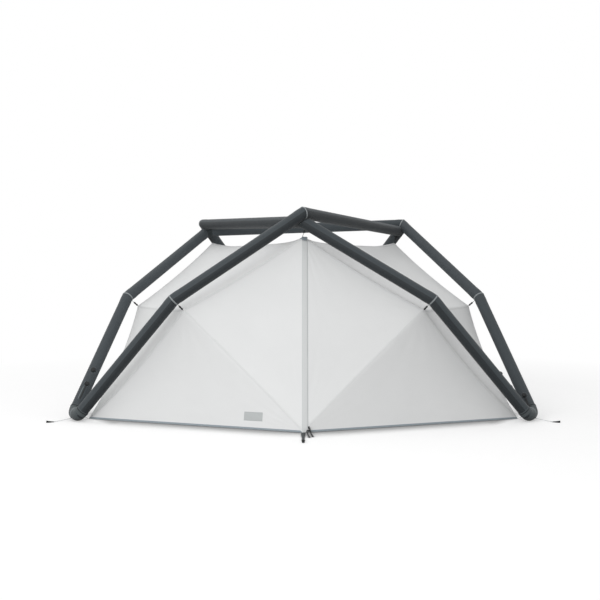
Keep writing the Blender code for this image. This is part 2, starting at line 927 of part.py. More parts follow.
def smooth_points(route, step):
    """Points at about equal steps on a smooth curve through a route's points."""
    ends = [route[0] * 2 - route[1], *route, route[-1] * 2 - route[-2]]
    points = [route[0]]
    for a, b, c, d in zip(ends, ends[1:], ends[2:], ends[3:]):
        count = max(round((c - b).length / step), 1)
        for i in range(1, count + 1):
            t = i / count
            bend = (a * 2 - b * 5 + c * 4 - d) * t * t + (b * 3 - c * 3 + d - a) * t**3
            points.append(b + ((c - a) * t + bend) / 2)
    return points


def round_curve(name, points, diameter):
    """A round cord along the points, as a curve with closed ends."""
    curve = bpy.data.curves.new(name, "CURVE")
    curve.dimensions = "3D"
    curve.bevel_depth = diameter / 2
    curve.bevel_resolution = 2
    curve.use_fill_caps = True
    spline = curve.splines.new("POLY")
    spline.points.add(len(points) - 1)
    for place, point in zip(spline.points, points):
        place.co = (*point, 1.0)
    return curve


def pull_curve(name, height, route):
    points = [slider_face(height), *(Vector(p) for p in route)]
    return round_curve(name, smooth_points(points, CORD_STEP), PULL_CORD_DIAMETER)


def label_body():
    """A bare cloth label on the lower left of the door."""
    lower = wall_faces(FLY)[1]
    normal = flat_normal(lower)
    along_hem = (FLY["hem"] - FLY["foot"]).normalized()
    up = normal.cross(along_hem).normalized()
    if up.z < 0:
        up = -up
    x_share = LABEL_OFFSET / abs(along_hem.x)
    base = FLY["hem"] - along_hem * x_share + up * LABEL_LIFT
    middle = base + up * LABEL_HEIGHT / 2 + normal * (SEAM_GAP + LABEL_THICKNESS / 2)
    matrix = standing_on(middle, normal, along_hem)
    return moved(block(LABEL_WIDTH, LABEL_HEIGHT, LABEL_THICKNESS, (0, 0, 0)), matrix)


# Ties, straps, guys and pegs


def tie_body(corner, panel_middle, bend, turns, tube_reach):
    """A short tie, sewn to a panel near its corner, that reaches to the tube's bend that carries it."""
    base = corner + (panel_middle - corner).normalized() * TIE_INSET
    line = [turned(p, turns * TURN) for p in arch_line()]
    along = (line[bend] - base).normalized()
    runs = directions(line)
    slant = max(abs(along.dot(runs[bend - 1])), abs(along.dot(runs[bend])))
    surface = tube_reach / math.sqrt(1 - slant * slant)
    radius = TIE_DIAMETER / 2
    start = base - along * TIE_SINK
    end = line[bend] - along * (surface + SEAT_GAP + radius * slant)
    return rod([start, end], [radius, radius], TIE_SIDES)


def foot_strap_body():
    """The webbing from the left boot to the fly's corner."""
    out = polar(1.0, FOOT_AZIMUTHS["left"], 0.0)
    level = UP.cross(out)
    start = out * (FLY_FOOT_RADIUS + SEAT_GAP) + UP * (HEM_HEIGHT + STRAP_THICKNESS)
    end = out * (FOOT_RADIUS - BOOT_RADIUS + BOOT_WALL / 2) + UP * BOOT_RADIUS
    return strap(start, end, STRAP_WIDTH, STRAP_THICKNESS, level)


def guy_route():
    """The left guy: from the outer side of the boot, taut and slightly down to its peg."""
    out = polar(1.0, FOOT_AZIMUTHS["left"], 0.0)
    drop = BOOT_RADIUS - GUY_BOOT_HEIGHT
    start_radius = FOOT_RADIUS + math.sqrt(BOOT_RADIUS**2 - drop**2)
    start = out * (start_radius + SEAT_GAP * 2) + UP * GUY_BOOT_HEIGHT
    end = out * (FOOT_PEG_RADIUS - SEAT_GAP) + UP * (GUY_DIAMETER / 2 + SEAT_GAP)
    return start, end


def guy_curve():
    start, end = guy_route()
    steps = round((end - start).length / CORD_STEP)
    return round_curve("guy", [start.lerp(end, i / steps) for i in range(steps + 1)], GUY_DIAMETER)


def foot_peg_body():
    """The head of a slanted ground peg that shows above the ground at the left foot."""
    out = polar(1.0, FOOT_AZIMUTHS["left"], 0.0)
    level = UP.cross(out) * FOOT_PEG_WIDTH / 2
    rings = []
    for reach, rise in ((0.0, FOOT_PEG_START), (FOOT_PEG_REACH, FOOT_PEG_RISE)):
        base = out * (FOOT_PEG_RADIUS + reach)
        top = UP * rise
        rings.append([base - level, base + level, base + level + top, base - level + top])
    return capped(rings)


def door_peg_body():
    radius = DOOR_PEG_DIAMETER / 2
    waist = DOOR_PEG_WAIST / 2
    radii = (waist, waist, radius, radius, waist)
    profile = [(r, share * DOOR_PEG_HEIGHT) for r, share in zip(radii, DOOR_PEG_STEP_SHARES)]
    place = Matrix.Translation(polar(DOOR_PEG_RADIUS, FRONT, 0.0))
    return moved(turned_solid(profile, VALVE_SIDES), place)


# Floor and inner tent


def six_sided(foot, hem, height):
    """The six corners of the floor, from the left foot round."""
    corners = []
    for azimuth in FOOT_AZIMUTHS.values():
        corners.append(polar(foot, azimuth, height))
        corners.append(polar(hem, azimuth + HALF_TURN, height))
    return corners


def floor_body():
    """The floor, with a webbing tab at each door corner that reaches to its peg."""
    foot = FLY_FOOT_RADIUS - 2 * FLOOR_INSET
    hem = FLY_HEM_RADIUS - FLOOR_INSET
    tip = DOOR_PEG_RADIUS - DOOR_PEG_WAIST / 2 - SEAT_GAP
    low = []
    for azimuth in FOOT_AZIMUTHS.values():
        corner = polar(foot, azimuth, 0.0)
        after = polar(foot, azimuth + TURN, 0.0)
        middle = polar(hem, azimuth + HALF_TURN, 0.0)
        side = (after - corner).normalized() * DOOR_STRAP_WIDTH / 2
        share = side.length / ((after - corner).length / 2)
        end = polar(tip, azimuth + HALF_TURN, 0.0)
        low += [corner, middle.lerp(corner, share), end - side, end + side, middle.lerp(after, share)]
    high = [p + UP * FLOOR_THICKNESS for p in low]
    return capped([low, high])


def tub_body():
    """The low waterproof wall that stands round the floor."""
    low = six_sided(INNER_FOOT_RADIUS, INNER_HEM_RADIUS, FLOOR_THICKNESS + SEAM_GAP)
    high = six_sided(INNER_FOOT_RADIUS, INNER_HEM_RADIUS, TUB_HEIGHT - SEAM_GAP)
    return pipe([low, high], [inset(low, INNER_THICKNESS), inset(high, INNER_THICKNESS)])


def doorway():
    return door_corners(INNER, 0.0, DOORWAY_TOP_DROP, DOORWAY_SEAM_SHARE, DOORWAY_HEM_SHARE)


def inner_front_body():
    """The inner tent's front, sewn above its doorway and open below."""
    d = doorway()
    left = [
        outside_up([INNER["hub"], INNER["knee"], d["seam"], d["top"]]),
        outside_up([INNER["knee"], INNER["foot"], d["bottom"], d["seam"]]),
    ]
    return cloth(left + [mirrored(p) for p in left], INNER_THICKNESS)


def roll_body():
    """The inner door, rolled up and held along the left edge of the doorway."""
    d = doorway()
    upper, lower = (flat_normal(face) for face in wall_faces(INNER))
    mean = (upper + lower).normalized()
    radius = ROLL_DIAMETER / 2
    lift = radius + SEAT_GAP
    ends = (d["top"] + upper * lift, d["seam"] + mean * lift / mean.dot(upper), d["bottom"] + lower * lift)
    path = [ends[0].lerp(ends[1], ROLL_END_SHARE), ends[1], ends[2].lerp(ends[1], ROLL_END_SHARE)]
    return rod(path, [radius * ROLL_TAPER_SHARE, radius, radius], ROLL_SIDES)


def loop_body(inner_corner, panel_middle, fly_corner):
    """A hanging loop from a corner of the inner tent to the same corner of the fly."""
    base = inner_corner + (panel_middle - inner_corner).normalized() * TIE_INSET
    along = (fly_corner - base).normalized()
    radius = LOOP_DIAMETER / 2
    return rod([base - along * TIE_SINK, fly_corner - along * LOOP_END_GAP], [radius, radius], LOOP_SIDES)


# Building the object


def clear_scene():
    for old in list(bpy.data.objects):
        bpy.data.objects.remove(old, do_unlink=True)


def valve_cutter():
    """Clearance holes for the three valve barrels of one arch."""
    bodies = []
    radius = VALVE_BARREL_DIAMETER / 2 + SEAM_GAP
    for place in VALVE_PLACES:
        profile = [(radius, -VALVE_DEPTH - SLEEVE_WALL), (radius, VALVE_FLANGE_THICKNESS)]
        bodies.append(moved(turned_solid(profile, VALVE_SIDES), valve_matrix(place)))
    return mesh_of("valve_holes", bodies)


def cut_with(target, cutter, solver):
    modifier = target.modifiers.new("valve_holes", "BOOLEAN")
    modifier.operation = "DIFFERENCE"
    modifier.solver = solver
    modifier.object = cutter


def build_arches():
    sleeve = mesh_of("arch_sleeve", [sleeve_body()], ROUND)
    bladder = mesh_of("arch_bladder", [bladder_body()], ROUND)
    holes = valve_cutter()
    boot = united("boot_shape", [boot_body(), foot_strap_body()], ROUND)
    for count, foot in enumerate(FOOT_AZIMUTHS):
        azimuth = TURN * count
        cutter = bpy.data.objects.new(f"valve_holes_{foot}", holes)
        cutter.rotation_euler.z = math.radians(azimuth)
        cutter.hide_render = True
        cutter.display_type = "WIRE"
        bpy.context.scene.collection.objects.link(cutter)
        cut_with(node(f"arch_{foot}_sleeve", sleeve, SLEEVE_FINISH, azimuth), cutter, "EXACT")
        cut_with(node(f"arch_{foot}_bladder", bladder, BLADDER_FINISH, azimuth), cutter, "MANIFOLD")
        node(f"foot_boot_{foot}", boot, BOOT_FINISH, azimuth)


def united(name, bodies, smooth_angle=None):
    """Bodies that overlap on purpose, joined into one solid."""
    base = bpy.data.objects.new(name, mesh_of(name, bodies[:1]))
    bpy.context.scene.collection.objects.link(base)
    tools = []
    for body in bodies[1:]:
        tool = bpy.data.objects.new("tool", mesh_of("tool", [body]))
        bpy.context.scene.collection.objects.link(tool)
        tools.append(tool)
        modifier = base.modifiers.new("join", "BOOLEAN")
        modifier.operation = "UNION"
        modifier.object = tool
    graph = bpy.context.evaluated_depsgraph_get()
    mesh = bpy.data.meshes.new_from_object(base.evaluated_get(graph))
    mesh.name = name
    for old in [base, *tools]:
        bpy.data.objects.remove(old, do_unlink=True)
    if smooth_angle is not None:
        mesh.shade_smooth()
        mesh.set_sharp_from_angle(angle=smooth_angle)
    return mesh


def build_valves():
    """Valve bodies, hinged caps and twist knobs. A cap or a knob has its origin on its joint's axis."""
    inflation, relief, lock = VALVE_PLACES
    inflation_mesh = mesh_of("inflation_valve", [valve_body(inflation)], ROUND)
    lock_mesh = mesh_of("lock_valve", [valve_body(lock)], ROUND)
    relief_mesh = mesh_of("relief_valve", [relief_body(relief)], ROUND)
    cap_mesh = united("cap_shape", list(cap_parts()), ROUND)
    cap_mesh.transform(Matrix.Translation(-cap_pivot()))
    knob_mesh = united("knob_shape", knob_parts(), ROUND)
    for count, foot in enumerate(FOOT_AZIMUTHS):
        azimuth = TURN * count
        turn = Matrix.Rotation(math.radians(azimuth), 4, "Z")
        node(f"inflation_valve_{foot}", inflation_mesh, GREY_PLASTIC, azimuth)
        node(f"lock_valve_{foot}", lock_mesh, GREY_PLASTIC, azimuth)
        node(f"relief_valve_{foot}", relief_mesh, BLACK_PLASTIC, azimuth)
        cap = node(f"inflation_cap_{foot}", cap_mesh, BLACK_PLASTIC)
        cap.matrix_world = turn @ valve_matrix(inflation) @ Matrix.Translation(cap_pivot())
        knob = node(f"lock_knob_{foot}", knob_mesh, BLACK_PLASTIC)
        knob.matrix_world = turn @ valve_matrix(lock)


def knob_parts():
    """A round twist knob and the grip bar across it."""
    foot = VALVE_FLANGE_THICKNESS + VALVE_NECK_HEIGHT + SEAT_GAP
    top = foot + KNOB_HEIGHT
    radius = KNOB_DIAMETER / 2
    edge = KNOB_EDGE_DIAMETER / 2
    wheel = turned_solid([(radius, foot), (radius, top), (edge, top + CAP_WALL / 2)], VALVE_SIDES)
    bar = block(KNOB_GRIP_LENGTH, KNOB_GRIP_WIDTH, KNOB_GRIP_HEIGHT, (0, 0, top + KNOB_GRIP_HEIGHT / 2))
    return [wheel, bar]


def cap_pivot():
    """The cap's hinge, at the end of its lug, in the valve's own frame."""
    height = VALVE_FLANGE_THICKNESS + SEAT_GAP + CAP_WALL / 2
    return Vector((CAP_LUG_REACH, 0.0, height))


def build_fly():
    roof = roof_face(FLY)
    hub_tie = tie_body(FLY["hub"], middle_of(roof), 3, -1, TUBE_RADIUS)
    hub_ties = turned_copies(hub_tie, (0.0, TURN, 2 * TURN))
    roof_mesh = united("fly_roof", [cloth([roof], FLY_THICKNESS), *hub_ties])
    node("fly_roof", roof_mesh, FLY_FINISH)
    slope, gore = side_faces(FLY)
    middle = middle_of(slope)
    knee_ties = [
        tie_body(FLY["knee"], middle, 1, 0, PIPING_OUTER),
        tie_body(FLY["knee_before"], middle, 4, 1, PIPING_OUTER),
    ]
    side_mesh = united("fly_side", [cloth([slope, gore], FLY_THICKNESS), *knee_ties])
    for count, foot in enumerate(FOOT_AZIMUTHS):
        node(f"fly_side_{foot}", side_mesh, FLY_FINISH, TURN * count)
    halves = list(wall_faces(FLY))
    wall_mesh = mesh_of("fly_wall", [cloth(halves + [mirrored(f) for f in halves], FLY_THICKNESS)])
    node("fly_wall_back_right", wall_mesh, FLY_FINISH, TURN)
    node("fly_wall_back_left", wall_mesh, FLY_FINISH, 2 * TURN)


def build_front():
    for side in ("left", "right"):
        fixed, moving = front_pieces(side)
        node(f"fly_front_{side}", mesh_of(f"fly_front_{side}", [cloth(fixed, FLY_THICKNESS)]), FLY_FINISH)
        door_mesh = mesh_of(f"door_{side}", [cloth(moving, FLY_THICKNESS)])
        top = hinge_line(side)[0]
        door_mesh.transform(Matrix.Translation(-top))
        node(f"door_{side}", door_mesh, FLY_FINISH).location = top
    flap_right = ZIP_OFFSET - ZIP_CHAIN_WIDTH
    flap = cloth(
        [front_strip(STORM_LEFT, flap_right, HEM_HEIGHT, DOOR_TOP)],
        STORM_FLAP_THICKNESS,
        STORM_FLAP_THICKNESS / 2,
    )
    node("storm_flap", mesh_of("storm_flap", [flap]), FLAP_FINISH)
    run_gap = ZIP_RUN_GAP / 2
    for side, low, high in (
        ("left", flap_right, ZIP_OFFSET - run_gap),
        ("right", ZIP_OFFSET + run_gap, ZIP_RIGHT),
    ):
        strip = front_strip(low, high, HEM_HEIGHT, DOOR_TOP)
        chain = cloth([strip], ZIP_CHAIN_THICKNESS, ZIP_CHAIN_THICKNESS / 2)
        node(f"zip_chain_{side}", mesh_of(f"zip_chain_{side}", [chain]), ZIP_FINISH)
    for name, height, route in (
        ("lower", LOWER_SLIDER_HEIGHT, LOWER_PULL_ROUTE),
        ("upper", UPPER_SLIDER_HEIGHT, UPPER_PULL_ROUTE),
    ):
        node(f"zip_slider_{name}", mesh_of(f"zip_slider_{name}", [slider_body(height)]), BLACK_PLASTIC)
        node(f"zip_pull_{name}", pull_curve(f"zip_pull_{name}", height, route), BLACK_PLASTIC)
    node("label_patch", mesh_of("label_patch", [label_body()]), LABEL_FINISH)


def build_rigging():
    foot_peg = mesh_of("foot_peg", [foot_peg_body()])
    door_peg = mesh_of("door_peg", [door_peg_body()], ROUND)
    guy = guy_curve()
    for count, foot in enumerate(FOOT_AZIMUTHS):
        azimuth = TURN * count
        node(f"foot_peg_{foot}", foot_peg, PEG_FINISH, azimuth)
        node(f"foot_guy_{foot}", guy, CORD_FINISH, azimuth)
    for count, door in enumerate(("front", "back_right", "back_left")):
        node(f"door_peg_{door}", door_peg, PEG_FINISH, TURN * count)


def build_inside():
    turns = [TURN * count for count in range(3)]
    node("groundsheet", mesh_of("groundsheet", [floor_body()]), FLOOR_FINISH)
    node("inner_tub", mesh_of("inner_tub", [tub_body()]), FLOOR_FINISH)
    slope, gore = side_faces(INNER)
    roof = roof_face(INNER)
    middle = middle_of(slope)
    faces = [roof]
    for azimuth in turns:
        faces += [[turned(p, azimuth) for p in face] for face in (slope, gore)]
    loops = turned_copies(loop_body(INNER["hub"], middle_of(roof), FLY["hub"]), turns)
    loops += turned_copies(loop_body(INNER["knee"], middle, FLY["knee"]), turns)
    loops += turned_copies(loop_body(INNER["knee_before"], middle, FLY["knee_before"]), turns)
    canopy = united("inner_canopy", [cloth(faces, INNER_THICKNESS), *loops])
    node("inner_canopy", canopy, MESH_FINISH)
    halves = list(wall_faces(INNER))
    wall = mesh_of("inner_wall", [cloth(halves + [mirrored(f) for f in halves], INNER_THICKNESS)])
    node("inner_wall_back_right", wall, MESH_FINISH, TURN)
    node("inner_wall_back_left", wall, MESH_FINISH, 2 * TURN)
    node("inner_front", mesh_of("inner_front", [inner_front_body()]), MESH_FINISH)
    node("inner_door_roll", mesh_of("inner_door_roll", [roll_body()], ROUND), MESH_FINISH)


def main():
    clear_scene()
    build_arches()
    build_valves()
    build_fly()
    build_front()
    build_rigging()
    build_inside()


main()
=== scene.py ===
# An inflatable geodesic tent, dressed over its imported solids.
# Metres, +Z is up, and the door faces -Y.
import math

import bmesh
import bpy
import numpy as np
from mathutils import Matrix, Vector


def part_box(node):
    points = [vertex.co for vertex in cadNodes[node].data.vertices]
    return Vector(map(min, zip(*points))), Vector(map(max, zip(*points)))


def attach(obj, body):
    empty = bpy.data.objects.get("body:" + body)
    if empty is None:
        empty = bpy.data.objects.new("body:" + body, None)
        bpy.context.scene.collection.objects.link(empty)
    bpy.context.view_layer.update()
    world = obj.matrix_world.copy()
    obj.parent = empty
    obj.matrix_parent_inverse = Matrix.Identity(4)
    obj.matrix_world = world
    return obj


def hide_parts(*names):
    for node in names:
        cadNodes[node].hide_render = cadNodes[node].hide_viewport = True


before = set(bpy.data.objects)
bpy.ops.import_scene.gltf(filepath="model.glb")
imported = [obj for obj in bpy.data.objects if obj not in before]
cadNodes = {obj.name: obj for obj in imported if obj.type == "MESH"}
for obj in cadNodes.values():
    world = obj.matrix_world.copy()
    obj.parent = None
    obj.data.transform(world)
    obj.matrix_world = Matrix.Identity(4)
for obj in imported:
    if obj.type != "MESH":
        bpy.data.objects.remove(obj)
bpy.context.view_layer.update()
feet = {"left": -150.0, "right": -30.0, "back": 90.0}  # degrees round the tent's axis
thirdTurn = 120.0
thirds = [(foot, thirdTurn * count) for count, foot in enumerate(feet)]
millimetre = 0.001
pointWeld, clothWeld = 0.00001, 0.00004  # how near two points lie when they are made one
print("frame loaded")


# Small vector helpers. Points are numpy arrays whose last axis is x, y, z.


def polar(radius, degrees, height):
    # a point from its distance to the axis, its azimuth and its height
    angle = math.radians(degrees)
    return np.array([radius * math.cos(angle), radius * math.sin(angle), height])


def turned(points, degrees):
    # turned round +Z: x becomes c x - s y, and y becomes s x + c y
    c, s = math.cos(math.radians(degrees)), math.sin(math.radians(degrees))
    return np.asarray(points) @ np.array([[c, -s, 0], [s, c, 0], [0, 0, 1]]).T


def unit(vectors):
    # each vector divided by its own length
    return vectors / np.maximum(np.linalg.norm(vectors, axis=-1, keepdims=True), 1e-12)


def lerp(a, b, share):
    # a share of the way from a to b
    return a + (b - a) * share


def smoothStep(x):
    # 3 t^2 - 2 t^3, held between 0 and 1
    t = np.clip(x, 0.0, 1.0)
    return t * t * (3 - 2 * t)


def pathLengths(path):
    # how far along a path each point lies: the running sum of its steps
    return np.concatenate([[0], np.cumsum(np.linalg.norm(np.diff(path, axis=0), axis=1))])


def uvGrid(across, along):
    # one u for each column and one v for each row, in metres
    return np.stack(np.broadcast_arrays(np.asarray(across)[None], np.asarray(along)[:, None]), -1)


def roundUv(radius, sides, along):
    # u runs round a tube and v along it
    return uvGrid(np.linspace(0, 2 * math.pi * radius, sides + 1), along)


# Meshes from grids. A grid is rows of points, and a part of a mesh is (grid, options).


def gridFaces(rows, cols, wrapAlong, wrapAcross):
    # each quad joins a point with its neighbours in the next column and row
    i = np.arange(rows if wrapAlong else rows - 1)[:, None]
    j = np.arange(cols if wrapAcross else cols - 1)[None, :]
    nextRow, nextCol = (i + 1) % rows, (j + 1) % cols
    corners = [i * cols + j, i * cols + nextCol, nextRow * cols + nextCol, nextRow * cols + j]
    quads = np.stack([np.broadcast_to(c, (len(i), j.shape[1])) for c in corners], -1)
    uvCols = cols + 1 if wrapAcross else cols
    uvCorners = [(i, j), (i, j + 1), (i + 1, j + 1), (i + 1, j)]
    uvIndex = np.stack([np.broadcast_to(a * uvCols + b, (len(i), j.shape[1])) for a, b in uvCorners], -1)
    return quads.reshape(-1, 4), uvIndex.reshape(-1)


def meshFromGrids(name, parts, finishes, weld=0.0):
    # parts: dictionaries with a grid, and if wanted uv, slot, wrapAlong and wrapAcross
    points, faces, uvs, slots = [], [], [], []
    start = 0
    for part in parts:
        grid = np.asarray(part["grid"], float)
        rows, cols = grid.shape[:2]
        along, across = part.get("wrapAlong", False), part.get("wrapAcross", False)
        quads, uvIndex = gridFaces(rows, cols, along, across)
        uv = part.get("uv")
        if uv is None:
            uv = np.zeros((rows + along, cols + across, 2))
        points.append(grid.reshape(-1, 3))
        faces.append(quads + start)
        uvs.append(np.asarray(uv, float).reshape(-1, 2)[uvIndex])
        slots.append(np.full(len(quads), part.get("slot", 0)))
        firstRing = start
        start += rows * cols
        for end in part.get("caps", ()):  # an end ring drawn together to its middle
            ring = np.arange(cols) + firstRing + (rows * cols - cols if end == "last" else 0)
            middle = grid[-1 if end == "last" else 0].mean(0)
            points.append(middle[None])
            nextOne = np.roll(ring, -1)
            hub = np.full(cols, start)
            order = (ring, nextOne, hub, hub) if end == "last" else (nextOne, ring, hub, hub)
            faces.append(np.stack(order, -1))
            uvs.append(np.zeros((cols * 4, 2)))
            slots.append(np.full(cols, part.get("slot", 0)))
            start += 1
    # quads with a repeated corner become triangles
    faceList, uvList = [], []
    for face, uv in zip(np.concatenate(faces).tolist(), np.concatenate(uvs).reshape(-1, 4, 2).tolist()):
        corners = 3 if face[2] == face[3] else 4
        faceList.append(face[:corners])
        uvList.extend(uv[:corners])
    mesh = bpy.data.meshes.new(name)
    mesh.from_pydata(np.concatenate(points).tolist(), [], faceList)
    layer = mesh.uv_layers.new(name="UVMap")
    layer.data.foreach_set("uv", np.array(uvList, np.float32).ravel())
    mesh.polygons.foreach_set("material_index", np.concatenate(slots).astype(np.int32))
    for finish in finishes:
        mesh.materials.append(finish)
    if weld:
        work = bmesh.new()
        work.from_mesh(mesh)
        bmesh.ops.remove_doubles(work, verts=work.verts, dist=weld)
        bmesh.ops.dissolve_degenerate(work, edges=work.edges, dist=weld / 10)
        work.to_mesh(mesh)
        work.free()
    mesh.shade_smooth()
    made = bpy.data.objects.new(name, mesh)
    bpy.context.scene.collection.objects.link(made)
    return made


def thicken(made, thickness):
    # the wall grows inwards, away from the way that the faces look
    wall = made.modifiers.new("wall", "SOLIDIFY")
    wall.thickness = thickness
    wall.offset = -1.0
    wall.use_rim = True
    wall.material_offset_rim = 0


def sharpRims(mesh):
    # the open edges stay sharp, so that a cloth's cut edge doesn't darken its face
    edges = np.zeros(len(mesh.loops), np.int32)
    mesh.loops.foreach_get("edge_index", edges)
    sharp = mesh.attributes.get("sharp_edge") or mesh.attributes.new("sharp_edge", "BOOLEAN", "EDGE")
    sharp.data.foreach_set("value", np.bincount(edges, minlength=len(mesh.edges)) == 1)


def turnedPart(part, degrees):
    return {**part, "grid": turned(part["grid"], degrees)}


def piece(name, parts, finishes, body="tent", nodes=(), turn=0.0, weld=pointWeld, wall=0.0):
    # one mesh of parts turned round the axis: it rides on a body, and a cloth also has a wall
    made = meshFromGrids(name, [turnedPart(part, turn) for part in parts], finishes, weld)
    if wall:
        sharpRims(made.data)
        thicken(made, wall)
    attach(made, body)
    if nodes:
        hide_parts(*nodes)
    return made


def sweep(path, radii, sides, hint=(0.0, 0.0, 1.0)):
    # a round profile carried along a path: its first direction is the hint made square to the path
    path = np.asarray(path, float)
    tangents = unit(np.gradient(path, axis=0))
    hint = np.broadcast_to(np.asarray(hint, float), path.shape)
    across = unit(hint - tangents * np.sum(hint * tangents, -1, keepdims=True))
    rise = np.cross(tangents, across)
    angle = np.linspace(0, 2 * math.pi, sides, endpoint=False)
    ring = np.cos(angle)[None, :, None] * across[:, None] + np.sin(angle)[None, :, None] * rise[:, None]
    radii = np.broadcast_to(np.asarray(radii, float), (len(path),))
    return path[:, None] + ring * radii[:, None, None]


def turnedProfile(profile, place, direction, sides=32, hint=(0, 0, 1)):
    # a lathe: (radius, height) pairs about a direction from a place
    axis = unit(np.asarray(direction, float))
    side = np.cross(axis, hint)
    if np.linalg.norm(side) < 1e-3:
        side = np.cross(axis, [1, 0, 0])
    side = unit(side)
    other = np.cross(axis, side)
    angle = np.linspace(0, 2 * math.pi, sides, endpoint=False)
    rim = np.cos(angle)[:, None] * side + np.sin(angle)[:, None] * other
    profile = np.asarray(profile, float)
    return np.asarray(place) + profile[:, 0, None, None] * rim + profile[:, 1, None, None] * axis


def smoothPath(points, step):
    # a Catmull-Rom curve through the points, read at about equal steps
    points = np.asarray(points, float)
    ends = np.concatenate([[2 * points[0] - points[1]], points, [2 * points[-1] - points[-2]]])
    made = [points[0][None]]
    for a, b, c, d in zip(ends, ends[1:], ends[2:], ends[3:]):
        count = max(int(round(np.linalg.norm(c - b) / step)), 1)
        t = (np.arange(1, count + 1) / count)[:, None]
        bend = (2 * a - 5 * b + 4 * c - d) * t**2 + (3 * b - 3 * c + d - a) * t**3
        made.append(b + ((c - a) * t + bend) / 2)
    return np.concatenate(made)


def closedTube(grid, uv=None, slot=0):
    # rings joined round, with each end drawn together to its middle
    return {"grid": grid, "uv": uv, "slot": slot, "wrapAcross": True, "caps": ("first", "last")}


def hoop(radius, wire, middle, axis, sides=24, hint=(0, 0, 1)):
    # a torus: a small circle carried round an axis
    t = np.linspace(0, 2 * math.pi, 16, endpoint=False)
    section = np.stack([radius + wire * np.cos(t), wire * np.sin(t)], -1)
    grid = turnedProfile(section, middle, axis, sides, hint)
    return {"grid": grid, "wrapAcross": True, "wrapAlong": True}


def bar(a, b, radius, sides=20):
    # a round bar from a to b with domed ends
    length = np.linalg.norm(b - a)
    t = np.linspace(0, math.pi / 2, 4)
    low = np.stack([radius * np.sin(t), radius * (1 - np.cos(t))], -1)
    high = np.stack([radius * np.sin(t[::-1]), length - radius + radius * np.cos(t[::-1])], -1)
    grid = turnedProfile(np.concatenate([low, high]), a, b - a, sides, hint=(0.3, 0.5, 0.8))
    uv = roundUv(radius, sides, np.arange(len(grid)) * length / len(grid))
    return {"grid": grid, "uv": uv, "wrapAcross": True}


# Materials


def linearColour(hexCode):
    # a code's three bytes as shares, with the display's curve taken off
    code = int(hexCode.lstrip("#"), 16)
    parts = np.array([code >> 16 & 255, code >> 8 & 255, code & 255]) / 255
    linear = np.where(parts <= 0.04045, parts / 12.92, ((parts + 0.055) / 1.055) ** 2.4)
    return (*linear.tolist(), 1.0)


def addNode(tree, kind, sockets=None, **settings):
    # one node with its settings; a socket's value may be a number, a colour or another node's output
    made = tree.nodes.new(kind)
    for key, value in settings.items():
        setattr(made, key, value)
    for key, value in (sockets or {}).items():
        if isinstance(value, bpy.types.NodeSocket):
            tree.links.new(value, made.inputs[key])
        else:
            made.inputs[key].default_value = value
    return made


def newMaterial(name, base, roughness, **sockets):
    made = bpy.data.materials.new(name)
    made.use_nodes = True
    shader = made.node_tree.nodes["Principled BSDF"]
    shader.inputs["Base Color"].default_value = linearColour(base)
    shader.inputs["Roughness"].default_value = roughness
    for key, value in sockets.items():
        shader.inputs[key.replace("_", " ")].default_value = value
    made.diffuse_color = linearColour(base)
    return made, made.node_tree, shader


def maths(tree, operation, *values):
    # the result of one sum; each value is a number or another node's output
    return addNode(tree, "ShaderNodeMath", dict(enumerate(values)), operation=operation).outputs[0]


def mapped(tree, value, fromLow, fromHigh, toLow=0.0, toHigh=1.0, **settings):
    # a value carried from one span to another, and held at both ends
    sockets = dict(enumerate((value, fromLow, fromHigh, toLow, toHigh)))
    return addNode(tree, "ShaderNodeMapRange", sockets, **settings).outputs[0]


def scaled(tree, value, low, high):
    # a value from 0 to 1 carried to another span
    return mapped(tree, value, 0.0, 1.0, low, high)


def bands(tree, coordinates, periodMm, direction="X"):
    # sine bands of this period: a wave texture draws 20 radians to each unit
    sockets = {"Vector": coordinates, "Scale": math.pi / 10 / (periodMm * millimetre)}
    return addNode(tree, "ShaderNodeTexWave", sockets, bands_direction=direction).outputs["Fac"]


def plainWeave(tree, coordinates, threadMm):
    # over-and-under threads: the product of two sets of bands, as a height from 0 to 1
    warp, weft = (bands(tree, coordinates, threadMm, way) for way in "XY")
    return maths(tree, "MULTIPLY", warp, weft)


def mottle(tree, coordinates, perMetre, detail=3.0, roughness=0.5):
    # soft noise, with about this many lumps to a metre
    sockets = {"Vector": coordinates, "Scale": perMetre, "Detail": detail, "Roughness": roughness}
    return addNode(tree, "ShaderNodeTexNoise", sockets).outputs["Fac"]


def mixed(tree, factor, none, full):
    # one colour where the factor is 0 and the other where it is 1; each is a code or a node's output
    ends = [linearColour(colour) if isinstance(colour, str) else colour for colour in (none, full)]
    return addNode(tree, "ShaderNodeMix", {0: factor, 6: ends[0], 7: ends[1]}, data_type="RGBA").outputs[2]


def finished(material, layers, colour=None, rough=None):
    # the bump is laid in layers, each a height and how many mm high it is
    made, tree, shader = material
    normal = None
    for height, mm in layers:
        sockets = {"Height": height, "Distance": mm * millimetre, "Strength": 1.0}
        if normal is not None:
            sockets["Normal"] = normal
        normal = addNode(tree, "ShaderNodeBump", sockets).outputs["Normal"]
    for name, output in (("Base Color", colour), ("Roughness", rough), ("Normal", normal)):
        if output is not None:
            tree.links.new(output, shader.inputs[name])
    return made


def metricUv(tree):
    return addNode(tree, "ShaderNodeUVMap", uv_map="UVMap").outputs["UV"]


def objectSpace(tree):
    return addNode(tree, "ShaderNodeTexCoord").outputs["Object"]


